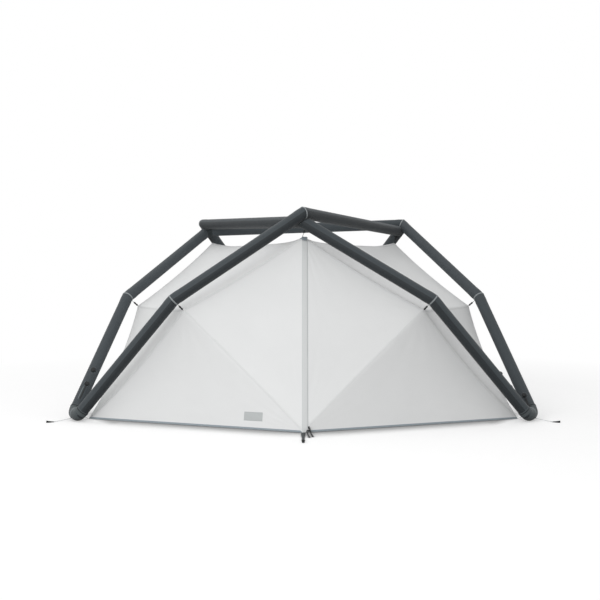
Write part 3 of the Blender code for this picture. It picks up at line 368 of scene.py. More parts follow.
def wovenFabric(name, light, dark, threadMm, creaseMm, roughness, sheen, undersideShade=None):
    # woven polyester: fine threads, slight tone drift, and soft creases that catch the light
    # the darker strip between these two distances round the tube lies on its underside: painted shade, sewn
    # as a second strip with a felled seam on both sides
    material = newMaterial(
        name, light, roughness, Sheen_Weight=sheen, Sheen_Roughness=0.45, Specular_IOR_Level=0.25
    )
    tree = material[1]
    uv = metricUv(tree)
    threads = plainWeave(tree, uv, threadMm)
    tone = maths(tree, "MULTIPLY", threads, mottle(tree, uv, 14.0, 4.0, 0.6))
    colour = mixed(tree, scaled(tree, tone, 0.0, 1.6), dark, light)
    stretched = addNode(tree, "ShaderNodeMapping", {"Vector": uv, "Scale": (3.0, 1.0, 1.0)}).outputs[0]
    layers = [(mottle(tree, stretched, 7.0, 2.0, 0.45), creaseMm), (threads, threadMm * 0.12)]
    if undersideShade:
        low, high, shade = undersideShade
        u = addNode(tree, "ShaderNodeSeparateXYZ", {0: uv}).outputs[0]
        away = maths(tree, "ABSOLUTE", maths(tree, "SUBTRACT", u, (low + high) / 2))
        half, blur, seamReach, seamMm = (high - low) / 2, 0.0008, 0.004, 0.6
        # painted shade: inside the strip on the tube's underside the colour is scaled down
        share = mapped(tree, away, half - blur, half + blur, shade, 1.0)
        colour = addNode(tree, "ShaderNodeVectorMath", {0: colour, 3: share}, operation="SCALE").outputs[0]
        layers.append((mapped(tree, away, half, half + seamReach, 1.0, 0.0), seamMm))
    return finished(material, layers, colour)


def ripstopFabric(name, light, dark, cellMm, creaseMm, roughness):
    # coated ripstop: a faint square grid of thicker threads on a fine weave, and slow tension waves
    material = newMaterial(name, light, roughness, Sheen_Weight=0.08, Specular_IOR_Level=0.30)
    tree = material[1]
    uv = metricUv(tree)
    threads = plainWeave(tree, uv, 1.2)  # real threads are 0.2 mm, drawn coarse enough to show up close
    lines = [
        mapped(tree, bands(tree, uv, cellMm, way), 0.93, 1.0, interpolation_type="SMOOTHSTEP") for way in "XY"
    ]
    grid = maths(tree, "MAXIMUM", *lines)
    tone = maths(tree, "MULTIPLY_ADD", grid, -0.35, mottle(tree, uv, 2.2))
    colour = mixed(tree, scaled(tree, tone, 0.0, 1.4), dark, light)
    waves = mottle(tree, uv, 5.0, 2.0, 0.4)
    return finished(material, [(waves, creaseMm), (grid, 0.05), (threads, 0.06)], colour)


def stitchedTape(name, light, dark, thread, rowsMm, stitchMm=4.5, roughness=0.7):
    # a folded tape with rows of lock stitches: u runs across it and v along it, in metres
    material = newMaterial(name, light, roughness, Sheen_Weight=0.1, Specular_IOR_Level=0.25)
    tree = material[1]
    uv = metricUv(tree)
    u = addNode(tree, "ShaderNodeSeparateXYZ", {0: uv}).outputs[0]
    dash = maths(tree, "GREATER_THAN", bands(tree, uv, stitchMm, "Y"), 0.35)
    rows = None
    for place in rowsMm:
        near = maths(tree, "COMPARE", u, place * millimetre, 0.45 * millimetre)
        rows = near if rows is None else maths(tree, "MAXIMUM", rows, near)
    stitches = maths(tree, "MULTIPLY", rows, dash)
    threads = plainWeave(tree, uv, 1.4)
    cloth = mixed(tree, scaled(tree, threads, 0.2, 1.0), dark, light)
    colour = mixed(tree, stitches, cloth, thread)
    return finished(material, [(rows, -0.3), (stitches, 0.35), (threads, 0.12)], colour)


def mouldedPlastic(name, base, roughness, grainMm=0.8):
    # injection-moulded plastic: one even colour, a fine spark-eroded grain, soft highlights
    material = newMaterial(name, base, roughness)
    tree = material[1]
    place = objectSpace(tree)
    grain = mottle(tree, place, 1 / (grainMm * millimetre), 2.0, 0.6)
    rough = scaled(tree, mottle(tree, place, 90.0, 2.0), roughness - 0.06, roughness + 0.08)
    return finished(material, [(grain, 0.03)], rough=rough)


def braidedCord(name, light, dark, strandMm):
    # a braid: two sets of slanting strands that cross
    material = newMaterial(name, light, 0.75, Sheen_Weight=0.15, Specular_IOR_Level=0.3)
    tree = material[1]
    uv = metricUv(tree)
    heights = []
    for angle in (35.0, -35.0):
        sockets = {"Vector": uv, "Rotation": (0.0, 0.0, math.radians(angle))}
        leaned = addNode(tree, "ShaderNodeMapping", sockets).outputs[0]
        heights.append(bands(tree, leaned, strandMm, "Y"))
    braid = maths(tree, "MAXIMUM", *heights)
    return finished(material, [(braid, strandMm * 0.25)], mixed(tree, braid, dark, light))


def anodisedAluminium(name, base, roughness):
    # anodised aluminium: a coloured metal with a fine drawn grain along the peg
    material = newMaterial(name, base, roughness, Metallic=0.9)
    tree = material[1]
    sockets = {"Vector": objectSpace(tree), "Scale": (1.0, 1.0, 0.1)}
    grain = mottle(tree, addNode(tree, "ShaderNodeMapping", sockets).outputs[0], 900.0, 3.0, 0.6)
    return finished(material, [(grain, 0.02)], rough=scaled(tree, grain, roughness - 0.08, roughness + 0.12))


def blowMouldedFilm(name, base):
    # clear-grey TPU bladder film: smooth, soft and slightly milky
    material = newMaterial(name, base, 0.35, Subsurface_Weight=0.2, Subsurface_Scale=0.01)
    tree = material[1]
    cloudy = mottle(tree, objectSpace(tree), 20.0)
    return finished(material, [(cloudy, 0.6)], rough=scaled(tree, cloudy, 0.28, 0.45))


def nettingFabric(name, light, dark, cellMm):
    # fine insect netting: hexagonal holes drawn as dark cells between pale strands
    material = newMaterial(name, light, 0.85, Specular_IOR_Level=0.2)
    tree = material[1]
    sockets = {"Vector": metricUv(tree), "Scale": 1 / (cellMm * millimetre), "Randomness": 0.05}
    cells = addNode(tree, "ShaderNodeTexVoronoi", sockets).outputs["Distance"]
    holes = mapped(tree, cells, 0.25, 0.45)
    return finished(material, [(holes, 0.2)], mixed(tree, holes, dark, light))


# the tubes' cloth, with painted shade on a strip round the underside of each tube
tubeCloth = wovenFabric(
    "woven_tube_polyester", "#4f5558", "#40464a", 1.6, 2.6, 0.58, 0.12, undersideShade=(0.0010, 0.0716, 0.55)
)
bootCloth = wovenFabric("heavy_boot_nylon", "#6d7476", "#4c5254", 2.4, 1.6, 0.80, 0.15)
patchCloth = wovenFabric("welded_tube_patch", "#4b5154", "#40464a", 1.2, 0.3, 0.60, 0.08)
pipingTape = stitchedTape("reflective_piping_tape", "#a3a8aa", "#8b9092", "#6d7274", (3.0, 11.0), 3.6, 0.55)
flyCloth = ripstopFabric("coated_fly_ripstop", "#e6e7e7", "#dfe0e0", 8.0, 5.0, 0.62)
flapCloth = ripstopFabric("storm_flap_ripstop", "#d9dada", "#d2d3d3", 8.0, 1.2, 0.62)
flapBand = stitchedTape("storm_flap_polyester", "#d6d8d8", "#ced0d0", "#c2c6c6", (3.0, 32.0), 4.5, 0.62)
seamTape = stitchedTape("felled_fly_seam", "#e3e4e4", "#dbdcdc", "#cfd1d1", (3.0, 11.0))
hemTape = stitchedTape("bound_hem_tape", "#98a2a8", "#87929a", "#c4cacc", (2.0, 6.0))
blackPlastic = mouldedPlastic("moulded_acetal_black", "#1b1e1f", 0.42)
valvePlastic = mouldedPlastic("moulded_valve_tpu", "#2c3133", 0.55)
webbing = stitchedTape("woven_black_webbing", "#3c4244", "#24292b", "#565b5d", (4.0,), 3.2, 0.8)
bootWebbing = stitchedTape("boot_reinforcing_webbing", "#7d8486", "#656c6e", "#8f9597", (3.0, 21.0), 3.2, 0.8)
pegMetal = anodisedAluminium("anodised_peg_aluminium", "#2a2d2f", 0.38)
guyBraid = braidedCord("braided_guy_polyester", "#d9dcdc", "#b9bdbe", 1.1)
pegBraid = braidedCord("braided_peg_loop", "#7d8384", "#636869", 1.1)
blackBraid = braidedCord("braided_pull_polyester", "#24282a", "#121516", 1.1)
zipNylon = mouldedPlastic("zip_coil_nylon", "#c3c7c7", 0.45, 0.5)
zipTape = stitchedTape("zip_tape_polyester", "#cfd2d2", "#c3c7c7", "#dadcdc", (2.0,), 3.0)
labelWeave = stitchedTape("woven_label_damask", "#c3c6c6", "#b6baba", "#a2a7a8", (3.0, 49.0), 3.0)
floorCloth = ripstopFabric("coated_floor_nylon", "#6f777b", "#626a6e", 6.0, 3.0, 0.5)
innerCloth = ripstopFabric("breathable_inner_nylon", "#bfc4c5", "#b3b8b9", 5.0, 5.0, 0.7)
innerNet = nettingFabric("insect_netting", "#9da3a5", "#454b4d", 2.2)
innerTape = stitchedTape("inner_binding_tape", "#aab0b2", "#9ba1a3", "#d0d4d4", (2.0, 8.0))
bladderFilm = blowMouldedFilm("bladder_tpu_film", "#c9cdc6")
print("materials made")


# Camera, floor and light

viewpoint = {
    "pictureSide": 600,
    "focalPixels": 894.9,
    "axisColumn": 303.276,
    "place": (0.0, -6.4383, 0.9296),
    "tiltDown": 0.030508,
    "sensor": 36.0,
}


def makeCamera():
    # the fitted camera: its lens is focal pixels over the picture's side, times the sensor
    side = viewpoint["pictureSide"]
    data = bpy.data.cameras.new("photo_view")
    data.sensor_width = viewpoint["sensor"]
    data.lens = viewpoint["focalPixels"] / side * viewpoint["sensor"]
    data.shift_x = (side / 2 - viewpoint["axisColumn"]) / side
    camera = bpy.data.objects.new("photo_view", data)
    bpy.context.scene.collection.objects.link(camera)
    camera.location = viewpoint["place"]
    camera.rotation_euler = (math.pi / 2 - viewpoint["tiltDown"], 0.0, 0.0)
    bpy.context.scene.camera = camera


bpy.context.scene.view_settings.view_transform = "Standard"

studio = {
    "worldLevel": 0.75,
    "floorSide": 60.0,
    "floorBounce": "#9a9a9a",
    # near the tent the floor's own white is lower and the rest is lit, so that it holds a shadow
    "floorGlow": 0.345,
    "floorLit": 0.70,
    "shadowNear": 2.3,
    "shadowFar": 4.2,
    "contactReach": 0.20,
    "contactOpen": 0.70,
    "contactDark": 0.42,
    "contactFrom": 1.43,
    "contactTo": 1.56,
    "lampAim": 0.6,
    # lamps: where from, distance, side of the square, level on a surface that faces it
    "lamps": {
        "key_window": ((-0.30, -0.88, 0.16), 7.0, 3.0, 0.32),
        "roof_window": ((-0.36, 0.10, 0.92), 7.0, 3.0, 0.13),
    },
}


def seenByCamera(tree):
    # 1 for a ray straight from the camera or through something clear, and 0 for light that bounces
    path = addNode(tree, "ShaderNodeLightPath")
    return maths(tree, "MAXIMUM", path.outputs["Is Camera Ray"], path.outputs["Is Transmission Ray"])


def makeFloor():
    half = studio["floorSide"] / 2
    grid = np.array([[[-half, -half, 0], [half, -half, 0]], [[-half, half, 0], [half, half, 0]]], float)
    made = bpy.data.materials.new("studio_floor_paper")
    made.use_nodes = True
    tree = made.node_tree
    tree.nodes.clear()
    away = addNode(tree, "ShaderNodeVectorMath", {0: objectSpace(tree)}, operation="LENGTH").outputs["Value"]
    # under the hem the paper darkens with the share of its view that is blocked
    clear = addNode(tree, "ShaderNodeAmbientOcclusion", {"Distance": studio["contactReach"]}, samples=12)
    contact = mapped(tree, clear.outputs["AO"], studio["contactOpen"], 1.0, studio["contactDark"])
    contact = maths(tree, "MAXIMUM", contact, mapped(tree, away, studio["contactFrom"], studio["contactTo"]))
    reach = (studio["shadowNear"], studio["shadowFar"])
    glow, lit = (
        maths(tree, "MULTIPLY", mapped(tree, away, *reach, near, far), contact)
        for near, far in ((studio["floorGlow"], 1.0), (studio["floorLit"], 0.0))
    )
    white = addNode(tree, "ShaderNodeEmission", {"Strength": glow}).outputs[0]
    paper = addNode(tree, "ShaderNodeBsdfDiffuse", {"Color": lit}).outputs[0]
    seen = addNode(tree, "ShaderNodeAddShader", {0: white, 1: paper}).outputs[0]
    colour = linearColour(studio["floorBounce"])
    bounce = addNode(tree, "ShaderNodeBsdfDiffuse", {"Color": colour}).outputs[0]
    both = addNode(tree, "ShaderNodeMixShader", {0: seenByCamera(tree), 1: bounce, 2: seen})
    addNode(tree, "ShaderNodeOutputMaterial", {"Surface": both.outputs[0]})
    meshFromGrids("studio_floor", [{"grid": grid}], [made])


def makeLights():
    # a lamp's power is its level times pi squared times its distance squared
    world = bpy.data.worlds.new("studio_world")
    bpy.context.scene.world = world
    world.use_nodes = True
    tree = world.node_tree
    tree.nodes.clear()
    lit, white = (
        addNode(tree, "ShaderNodeBackground", {"Color": (1.0, 1.0, 1.0, 1.0), "Strength": level}).outputs[0]
        for level in (studio["worldLevel"], 1.0)
    )
    both = addNode(tree, "ShaderNodeMixShader", {0: seenByCamera(tree), 1: lit, 2: white})
    addNode(tree, "ShaderNodeOutputWorld", {"Surface": both.outputs[0]})
    for name, (direction, distance, side, level) in studio["lamps"].items():
        towards = unit(np.array(direction))
        data = bpy.data.lights.new(name, "AREA")
        data.shape = "SQUARE"
        data.size = side
        data.energy = level * math.pi**2 * distance**2
        lamp = bpy.data.objects.new(name, data)
        bpy.context.scene.collection.objects.link(lamp)
        lamp.location = towards * distance + np.array([0, 0, studio["lampAim"]])
        lamp.rotation_euler = Vector(-towards).to_track_quat("-Z", "Y").to_euler()


makeCamera()
makeFloor()
makeLights()
print("camera, floor and lights placed")


# Air tubes

arch = {
    "tubeRadius": 0.038,
    "footRadius": 1.650,
    "footSpacing": 0.102,
    "footHeight": 0.041,
    "kneeRadius": 1.241,
    "kneeHeight": 0.762,
    "overRadius": 0.875,
    "overHeight": 1.299,
    "underRadius": 0.847,
    "underHeight": 1.246,
    "kneeTurn": 39.96,
    "front": -90.0,
    "sides": 72,
    "fineReach": 0.13,
    "fineStep": 0.005,
    "coarseStep": 0.04,
    "endBack": 0.024,
    "pinchDepth": 0.0012,
    "pinchWidth": 0.007,
    "bulge": 0.0012,
    "bulgePlace": 0.04,
    "bulgeWidth": 0.022,
    "gatherDepth": 0.0007,
    "gatherCount": 17,
    "gatherReach": 0.020,
    "foldDepth": 0.0020,
    "foldLength": 0.0042,
    "foldReach": 0.022,
    "sharpTurn": 0.8,
    "bladderDepth": 0.0018,
    "bladderBack": 0.030,
    "pressGap": 0.0030,
    "pressRounds": 14,
}


def archLine():
    # two feet and four bends; a foot lies half the foot spacing beside its azimuth
    offset = math.degrees(arch["footSpacing"] / 2 / arch["footRadius"])
    front = arch["front"]
    return np.array(
        [
            polar(arch["footRadius"], feet["left"] + offset, arch["footHeight"]),
            polar(arch["kneeRadius"], front - arch["kneeTurn"], arch["kneeHeight"]),
            polar(arch["overRadius"], front, arch["overHeight"]),
            polar(arch["underRadius"], front + thirdTurn, arch["underHeight"]),
            polar(arch["kneeRadius"], front + thirdTurn + arch["kneeTurn"], arch["kneeHeight"]),
            polar(arch["footRadius"], feet["back"] - offset, arch["footHeight"]),
        ]
    )


line = archLine()
runs = unit(np.diff(line, axis=0))
beforeRun = unit(line[0] - turned(line[5], thirdTurn))
afterRun = unit(turned(line[0], -thirdTurn) - line[5])
bendNormals = unit(np.vstack([beforeRun, runs]) + np.vstack([runs, afterRun]))


def runFrames():
    # two directions across each run, turned with it at each bend and never twisted
    side = unit(np.cross(runs[0], [0, 0, 1]))
    sides = [side]
    for a, b in zip(runs[:-1], runs[1:]):
        axis, cosine = np.cross(a, b), a @ b
        side = side * cosine + np.cross(axis, side) + axis * (axis @ side) / (1 + cosine)
        sides.append(side)
    sides = np.array(sides)
    return sides, np.cross(runs, sides)


frameSides, frameRises = runFrames()
tubeAngles = np.linspace(0, 2 * math.pi, arch["sides"], endpoint=False)


def roundDirections(run, angles=tubeAngles):
    # cosine times one direction across the run, and sine times the other
    return np.cos(angles)[:, None] * frameSides[run] + np.sin(angles)[:, None] * frameRises[run]


def mitreRing(index, radius, angles=tubeAngles):
    # where the round tube meets the plane halfway between the runs on both sides of a bend
    run = min(index, 4)
    ring = line[index] + radius * roundDirections(run, angles)
    slide = (line[index] - ring) @ bendNormals[index] / (runs[run] @ bendNormals[index])
    return ring + runs[run] * slide[:, None]


def runShares(run):
    # closer together near the bends, where the cloth puckers
    length = np.linalg.norm(line[run + 1] - line[run])
    near = np.arange(0, arch["fineReach"], arch["fineStep"])
    middle = np.arange(arch["fineReach"], length - arch["fineReach"], arch["coarseStep"])
    return np.unique(np.concatenate([near, middle, length - near])) / length


def distanceToLine(points, corners):
    # the least distance from each point to a chain of straight runs
    least = np.full(points.shape[:-1], np.inf)
    for a, b in zip(corners[:-1], corners[1:]):
        share = np.clip(((points - a) @ (b - a)) / ((b - a) @ (b - a)), 0, 1)
        least = np.minimum(least, np.linalg.norm(points - lerp(a, b, share[..., None]), axis=-1))
    return least


crossing = turned(line[1:4], thirdTurn)


def pressed(points, middles, reach):
    # each point is drawn towards its tube's middle until it clears the tube that crosses above
    clear = np.zeros(points.shape[:-1])
    touching = np.ones(points.shape[:-1])
    hit = distanceToLine(points, crossing) < reach
    for _ in range(arch["pressRounds"]):
        half = (clear + touching) / 2
        inside = distanceToLine(lerp(middles, points, half[..., None]), crossing) < reach
        touching = np.where(inside, half, touching)
        clear = np.where(inside, clear, half)
    return np.where(hit[..., None], lerp(middles, points, clear[..., None]), points)


def tubeGrid(radius, back, puckers):
    # generators from mitre to mitre, with a pinch, a soft bulge, gathers and folds near each bend
    grids, middles, lengths = [], [], []
    covered = 0.0
    for run in range(5):
        first, last = mitreRing(run, radius), mitreRing(run + 1, radius)
        length = np.linalg.norm(line[run + 1] - line[run])
        shares = runShares(run)
        low = back / length if run == 0 else 0.0
        high = 1 - back / length if run == 4 else 1.0
        shares = np.unique(np.concatenate([[low], shares[(shares > low) & (shares < high)], [high]]))
        if run < 4:
            shares = shares[:-1]
        points = lerp(first[None], last[None], shares[:, None, None])
        across = roundDirections(run)
        rise = np.zeros(points.shape[:2])
        if puckers:
            reachRow = np.linalg.norm(last - first, axis=1)
            for bend, share in ((run, shares), (run + 1, 1 - shares)):
                if bend in (0, 5):
                    continue
                away = share[:, None] * reachRow[None]
                inward = unit(runs[bend] - runs[bend - 1])
                inner = np.clip(across @ inward, 0, 1)[None] ** 2
                sharpness = min(np.linalg.norm(runs[bend] - runs[bend - 1]) / arch["sharpTurn"], 1.0)
                gathers = np.cos(arch["gatherCount"] * tubeAngles)[None] * np.exp(-away / arch["gatherReach"])
                fold = np.sin(away / arch["foldLength"]) * np.exp(-away / arch["foldReach"])
                rise -= arch["pinchDepth"] * np.exp(-((away / arch["pinchWidth"]) ** 2))
                rise += arch["bulge"] * np.exp(-(((away - arch["bulgePlace"]) / arch["bulgeWidth"]) ** 2))
                rise += arch["gatherDepth"] * gathers
                rise += arch["foldDepth"] * sharpness * inner * fold
        points = points + rise[..., None] * across[None]
        middle = lerp(line[run], line[run + 1], shares[:, None])[:, None] + 0 * points
        grids.append(points)
        middles.append(middle)
        lengths.append(covered + shares * length)
        covered += length
    return np.concatenate(grids), np.concatenate(middles), np.concatenate(lengths)


def pressedTube(depth, back, puckers):
    # the round tube, flattened where the next arch crosses over it
    radius = arch["tubeRadius"] - depth
    grid, middles, lengths = tubeGrid(radius, back, puckers)
    grid = pressed(grid, middles, arch["tubeRadius"] + arch["pressGap"] + depth)
    return closedTube(grid, roundUv(radius, arch["sides"], lengths))


def makeSleeves():
    # the bladder lies a little deeper than its sleeve and starts farther back
    sleeve = pressedTube(0.0, arch["endBack"], True)
    film = pressedTube(arch["bladderDepth"], arch["bladderBack"], False)
    for foot, turn in thirds:
        for kind, part, finish, slotName in (
            ("sleeve", sleeve, tubeCloth, "tube_cloth"),
            ("bladder", film, bladderFilm, "bladder_film"),
        ):
            nodes = [f"arch_{foot}_{kind}"]
            piece(f"{kind}_{foot}", [part], [finish], nodes=nodes, turn=turn, weld=0.0)


makeSleeves()
print("sleeves and bladders made")


# Boots, the short ground tubes that join two arches at each foot

boot = {
    "radius": 0.0402,
    "endRadius": 0.0372,
    "legReach": 0.046,
    "bend": 0.050,
    "sides": 72,
    "step": 0.003,
    "creaseDepth": 0.0022,
    "foldDepth": 0.0013,
    "foldLength": 0.0026,
    "overFloor": 0.0002,
    # the bands' width, how far they lie inside the boot's radius, and their swell
    "band": (0.009, 0.0, 0.0010),
    "strapBand": (0.024, 0.0002, 0.0008),
    "strapThickness": 0.0013,
    "strapTop": (0.9, -0.012),
    "strapFoot": (0.004, 0.0062),
    "strapSag": 0.002,
    "bandBack": 0.008,
    "endFade": 0.006,
    "creaseFade": 0.010,
    "waveDepth": 0.0005,
    "wavesPerMetre": 160,
}


def filleted(points, radius, steps):
    # straight runs joined by arcs: each arc's middle is radius / sin(half the corner) along its bisector
    made = [points[0]]
    for before, corner, after in zip(points, points[1:], points[2:]):
        a, b = unit(before - corner), unit(after - corner)
        half = math.acos(float(np.clip(a @ b, -1, 1))) / 2
        middle = corner + unit(a + b) * radius / math.sin(half)
        reach = radius / math.tan(half)
        start, end = corner + a * reach - middle, corner + b * reach - middle
        turn = math.pi - 2 * half
        t = np.linspace(0, 1, steps)[:, None]
        made.extend(middle + (start * np.sin((1 - t) * turn) + end * np.sin(t * turn)) / math.sin(turn))
    made.append(points[-1])
    return np.array(made)


def resampled(path, step):
    # the same path cut into equal steps
    path = np.asarray(path, float)
    along = pathLengths(path)
    places = np.linspace(0, along[-1], max(int(round(along[-1] / step)), 1) + 1)
    return np.stack([np.interp(places, along, path[:, k]) for k in range(3)], -1)


def bootPath():
    # from one arch's last leg, over the ground and up the next arch's first leg
    arrive, leave = turned(line[5], thirdTurn), line[0]
    corners = [
        arrive - turned(runs[4], thirdTurn) * boot["legReach"],
        arrive,
        leave,
        leave + runs[0] * boot["legReach"],
    ]
    return resampled(filleted(np.array(corners), boot["bend"], 24), boot["step"])


def ringBand(middle, direction, width, radius, rise, hint, sides=72, slot=0):
    # a tape round a tube: the radius swells by the rise in the middle and sinks at both edges
    across = np.array([0, 0.08, 0.2, 0.5, 0.8, 0.92, 1.0])
    swell = np.array([-0.4, 0.6, 0.9, 1.0, 0.9, 0.6, -0.4])
    rings = middle + direction * (across[:, None] - 0.5) * width
    grid = sweep(rings, radius + swell * rise, sides, hint)
    uv = roundUv(radius, sides, across * width)[..., ::-1]
    return {"grid": grid, "uv": uv, "wrapAcross": True, "slot": slot}


def stripBlock(path, side, thickness, slot=0):
    # a flat band with a rounded edge: eight points round its section
    path = np.asarray(path, float)
    normal = unit(np.cross(side, unit(np.gradient(path, axis=0))))
    half = np.array([-1, -0.97, 0, 0.97, 1, 0.97, 0, -0.97])
    level = np.array([0, 1, 1, 1, 0, -1, -1, -1]) * thickness / 2
    side = np.broadcast_to(side, path.shape)
    grid = path[:, None] + side[:, None] * half[None, :, None] + normal[:, None] * level[None, :, None]
    u = np.concatenate([(half + 1) * np.linalg.norm(side[0]), [0]])
    return closedTube(grid, uvGrid(u, pathLengths(path)), slot)


def makeBoots():
    path = bootPath()
    lengths = pathLengths(path)
    out = polar(1.0, feet["left"], 0.0)
    fromEnd = np.minimum(lengths, lengths[-1] - lengths)
    radii = lerp(boot["endRadius"], boot["radius"], smoothStep(fromEnd / boot["endFade"]))
    grid = sweep(path, radii, boot["sides"], out)
    directions = unit(grid - path[:, None])
    # folds on the inner side of the bend, as deep as it is sharp, and a slight wave all round
    turnIn = np.gradient(unit(np.gradient(path, axis=0)), axis=0)
    inner = np.clip(np.einsum("rsk,rk->rs", directions, unit(turnIn)), 0, 1) ** 2
    bending = np.linalg.norm(turnIn, axis=1)
    folds = np.cos(lengths / boot["foldLength"]) * boot["foldDepth"] - boot["creaseDepth"]
    lobes = np.sin(3 * np.linspace(0, 2 * math.pi, boot["sides"]))
    wave = np.sin(lengths * boot["wavesPerMetre"])[:, None] * lobes
    rise = inner * (bending / bending.max() * folds)[:, None] + boot["waveDepth"] * wave
    grid = grid + directions * (rise * smoothStep(fromEnd / boot["creaseFade"])[:, None])[..., None]
    grid[..., 2] = np.maximum(grid[..., 2], boot["overFloor"])
    parts = [closedTube(grid, roundUv(boot["radius"], boot["sides"], lengths))]
    places = (boot["bandBack"], lengths[-1] - boot["bandBack"])
    first, last = (int(np.argmin(np.abs(lengths - place))) for place in places)
    middle = len(path) // 2
    for index, (width, inset, swell), slot in (
        (first, boot["band"], 1),
        (last, boot["band"], 1),
        (middle, boot["strapBand"], 2),
    ):
        tangent = unit(path[index + 1] - path[index - 1])
        parts.append(ringBand(path[index], tangent, width, boot["radius"] - inset, swell, out, slot=slot))
    # the strap runs from the boot's inner side down to the fly's corner
    (share, drop), (gap, height) = boot["strapTop"], boot["strapFoot"]
    top = path[middle] - out * boot["radius"] * share + np.array([0, 0, drop])
    low = polar(shell["fly"]["foot"][0] + gap, feet["left"], height)
    strapLine = smoothPath([top, lerp(top, low, 0.5) - np.array([0, 0, boot["strapSag"]]), low], 0.004)
    strapSide = unit(np.cross(out, [0, 0, 1])) * boot["strapBand"][0] / 2
    parts.append(stripBlock(strapLine, strapSide, boot["strapThickness"], 2))
    finishes = [bootCloth, tubeCloth, bootWebbing]
    for foot, turn in thirds:
        nodes = [f"foot_boot_{foot}"]
        piece(f"boot_{foot}", parts, finishes, nodes=nodes, turn=turn, weld=0.0)


# Cloth panels. A triangle's point has three shares of its corners, and a quad's point has two.

shell = {
    "fly": {
        "hub": (0.8005, 1.157),
        "knee": (1.170, 0.699),
        "foot": (1.571, 0.004),
        "hem": (1.285, 0.004),
        "kneeTurn": 20.4,
        # how far the middle of each edge bows inwards
        "bows": {
            "hubKnee": 0.0155,
            "kneeFoot": 0.032,
            "kneeHem": 0.008,
            "hubHem": 0.005,
            "knees": 0.006,
            "hubs": 0.003,
        },
    },
    "inner": {
        "hub": (0.735, 1.070),
        "knee": (1.085, 0.650),
        "foot": (1.430, 0.080),
        "hem": (1.170, 0.080),
        "kneeTurn": 20.4,
        "bows": {
            "hubKnee": 0.020,
            "kneeFoot": 0.018,
            "kneeHem": 0.010,
            "hubHem": 0.008,
            "knees": 0.012,
            "hubs": 0.012,
        },
    },
    "sag": 0.034,
    "sagReach": 0.08,
    "creaseRise": 0.0005,
    "creaseReach": 0.16,
    "creaseCount": 5.0,
    "creaseEdge": 0.06,
    "rippleCount": 22,
    "wall": 0.0008,
    "gridCount": 40,
    "rollWidth": 1.5,
    "usedShare": 0.75,
}
one, two, three = np.eye(3)  # the shares of a triangle's corners
whole = [one, one, three, two]
square = [[0, 0], [1, 0], [1, 1], [0, 1]]


def shellCorners(which):
    # hubs, knees, foot and hem: a radius and a height at an azimuth
    left, front, turn = feet["left"], arch["front"], which["kneeTurn"]
    places = {
        "A": ("hub", front),
        "A2": ("hub", front - thirdTurn),
        "A3": ("hub", front + thirdTurn),
        "K": ("knee", left + turn),
        "K2": ("knee", left - turn),
        "F": ("foot", left),
        "B": ("hem", front),
    }
    return {key: polar(which[kind][0], azimuth, which[kind][1]) for key, (kind, azimuth) in places.items()}


def bilinear(corners, u, v):
    # corners run round the patch: 00, 10, 11 and 01
    return lerp(lerp(corners[0], corners[1], u), lerp(corners[3], corners[2], u), v)


def squareTo(a, b, point):
    # the way from the line through a and b to a point, square to that line
    edge = unit(b - a)
    return (point - a) - edge * ((point - a) @ edge)


def bowVector(a, b, others, size):
    # the bow points into both panels that meet at the edge: the sum of the directions square to it
    return unit(sum(unit(squareTo(a, b, other)) for other in others)) * size


def peakSag(along, near):
    # between two peaks the cloth drops quickly beside each one and then runs almost level
    reach = shell["sagReach"]
    return (1 - np.exp(-along / reach)) * (1 - np.exp((along - 1) / reach)) * near**2 * shell["sag"]


def trianglePanel(corners, bows, phase=0.0):
    # the normal is square to the corners' plane and looks out
    corners = np.array(corners)
    normal = unit(np.cross(corners[1] - corners[0], corners[2] - corners[0]))
    normal = normal * (1 if normal @ (corners.mean(0) * [1, 1, 0.5]) > 0 else -1)
    return {"corners": corners, "bows": np.array(bows), "normal": normal, "phase": phase}


def onTriangle(panel, shares, lift=0.0):
    # the flat point, plus 4 times the product of two shares for each bowed edge, plus fine radial creases
    a, b, c = shares[..., 0], shares[..., 1], shares[..., 2]
    products = 4 * np.stack([a * b, b * c, c * a], -1)
    points = shares @ panel["corners"] + products @ panel["bows"]
    if panel.get("sags"):
        for p, q in ((a, b), (b, c), (c, a)):
            points[..., 2] -= peakSag(q / np.maximum(p + q, 1e-9), p + q)
    rise = np.zeros(a.shape)
    for p, q, r in ((a, b, c), (b, c, a), (c, a, b)):
        away = (1 - p) / shell["creaseReach"]
        angle = q / np.maximum(q + r, 1e-9)
        rise += np.sin(2 * math.pi * shell["creaseCount"] * angle + panel["phase"]) * away * np.exp(1 - away)
    edge = smoothStep(np.min(shares, axis=-1) / shell["creaseEdge"])
    rise = rise * edge * shell["creaseRise"] + lift
    return points + rise[..., None] * panel["normal"]


def quadPanel(corners, bows):
    # corners run round the quad, and the bows are those of its edges 01, 12, 23 and 30
    corners = np.array(corners)
    normal = unit(np.cross(corners[2] - corners[0], corners[3] - corners[1]))
    normal = normal * (1 if normal @ corners.mean(0) > 0 else -1)
    return {"corners": corners, "bows": np.array(bows), "normal": normal, "quad": True}


def onQuad(panel, places, lift=0.0):
    # the bilinear point, plus 4u(1-u) and 4v(1-v) of the bows of its four edges
    u, v = places[..., :1], places[..., 1:2]
    s = panel["bows"]
    points = bilinear(panel["corners"], u, v)
    points = points + 4 * u * (1 - u) * lerp(s[0], s[2], v) + 4 * v * (1 - v) * lerp(s[3], s[1], u)
    if panel.get("sags"):
        points[..., 2:] -= peakSag(v, 1 - u)
    ripple = np.sin(u * shell["rippleCount"]) * np.sin(v * math.pi) * np.sin(u * math.pi)
    return points + (ripple * shell["creaseRise"] + np.asarray(lift)[..., None]) * panel["normal"]


def onPanel(panel, places, lift=0.0):
    return onQuad(panel, places, lift) if panel.get("quad") else onTriangle(panel, places, lift)


def sharesOf(panel, point):
    # a point's shares of a triangle's corners, by least squares in its plane
    rows = np.vstack([panel["corners"].T, np.ones(3)])
    return np.linalg.lstsq(rows, np.append(point, 1.0), rcond=None)[0]


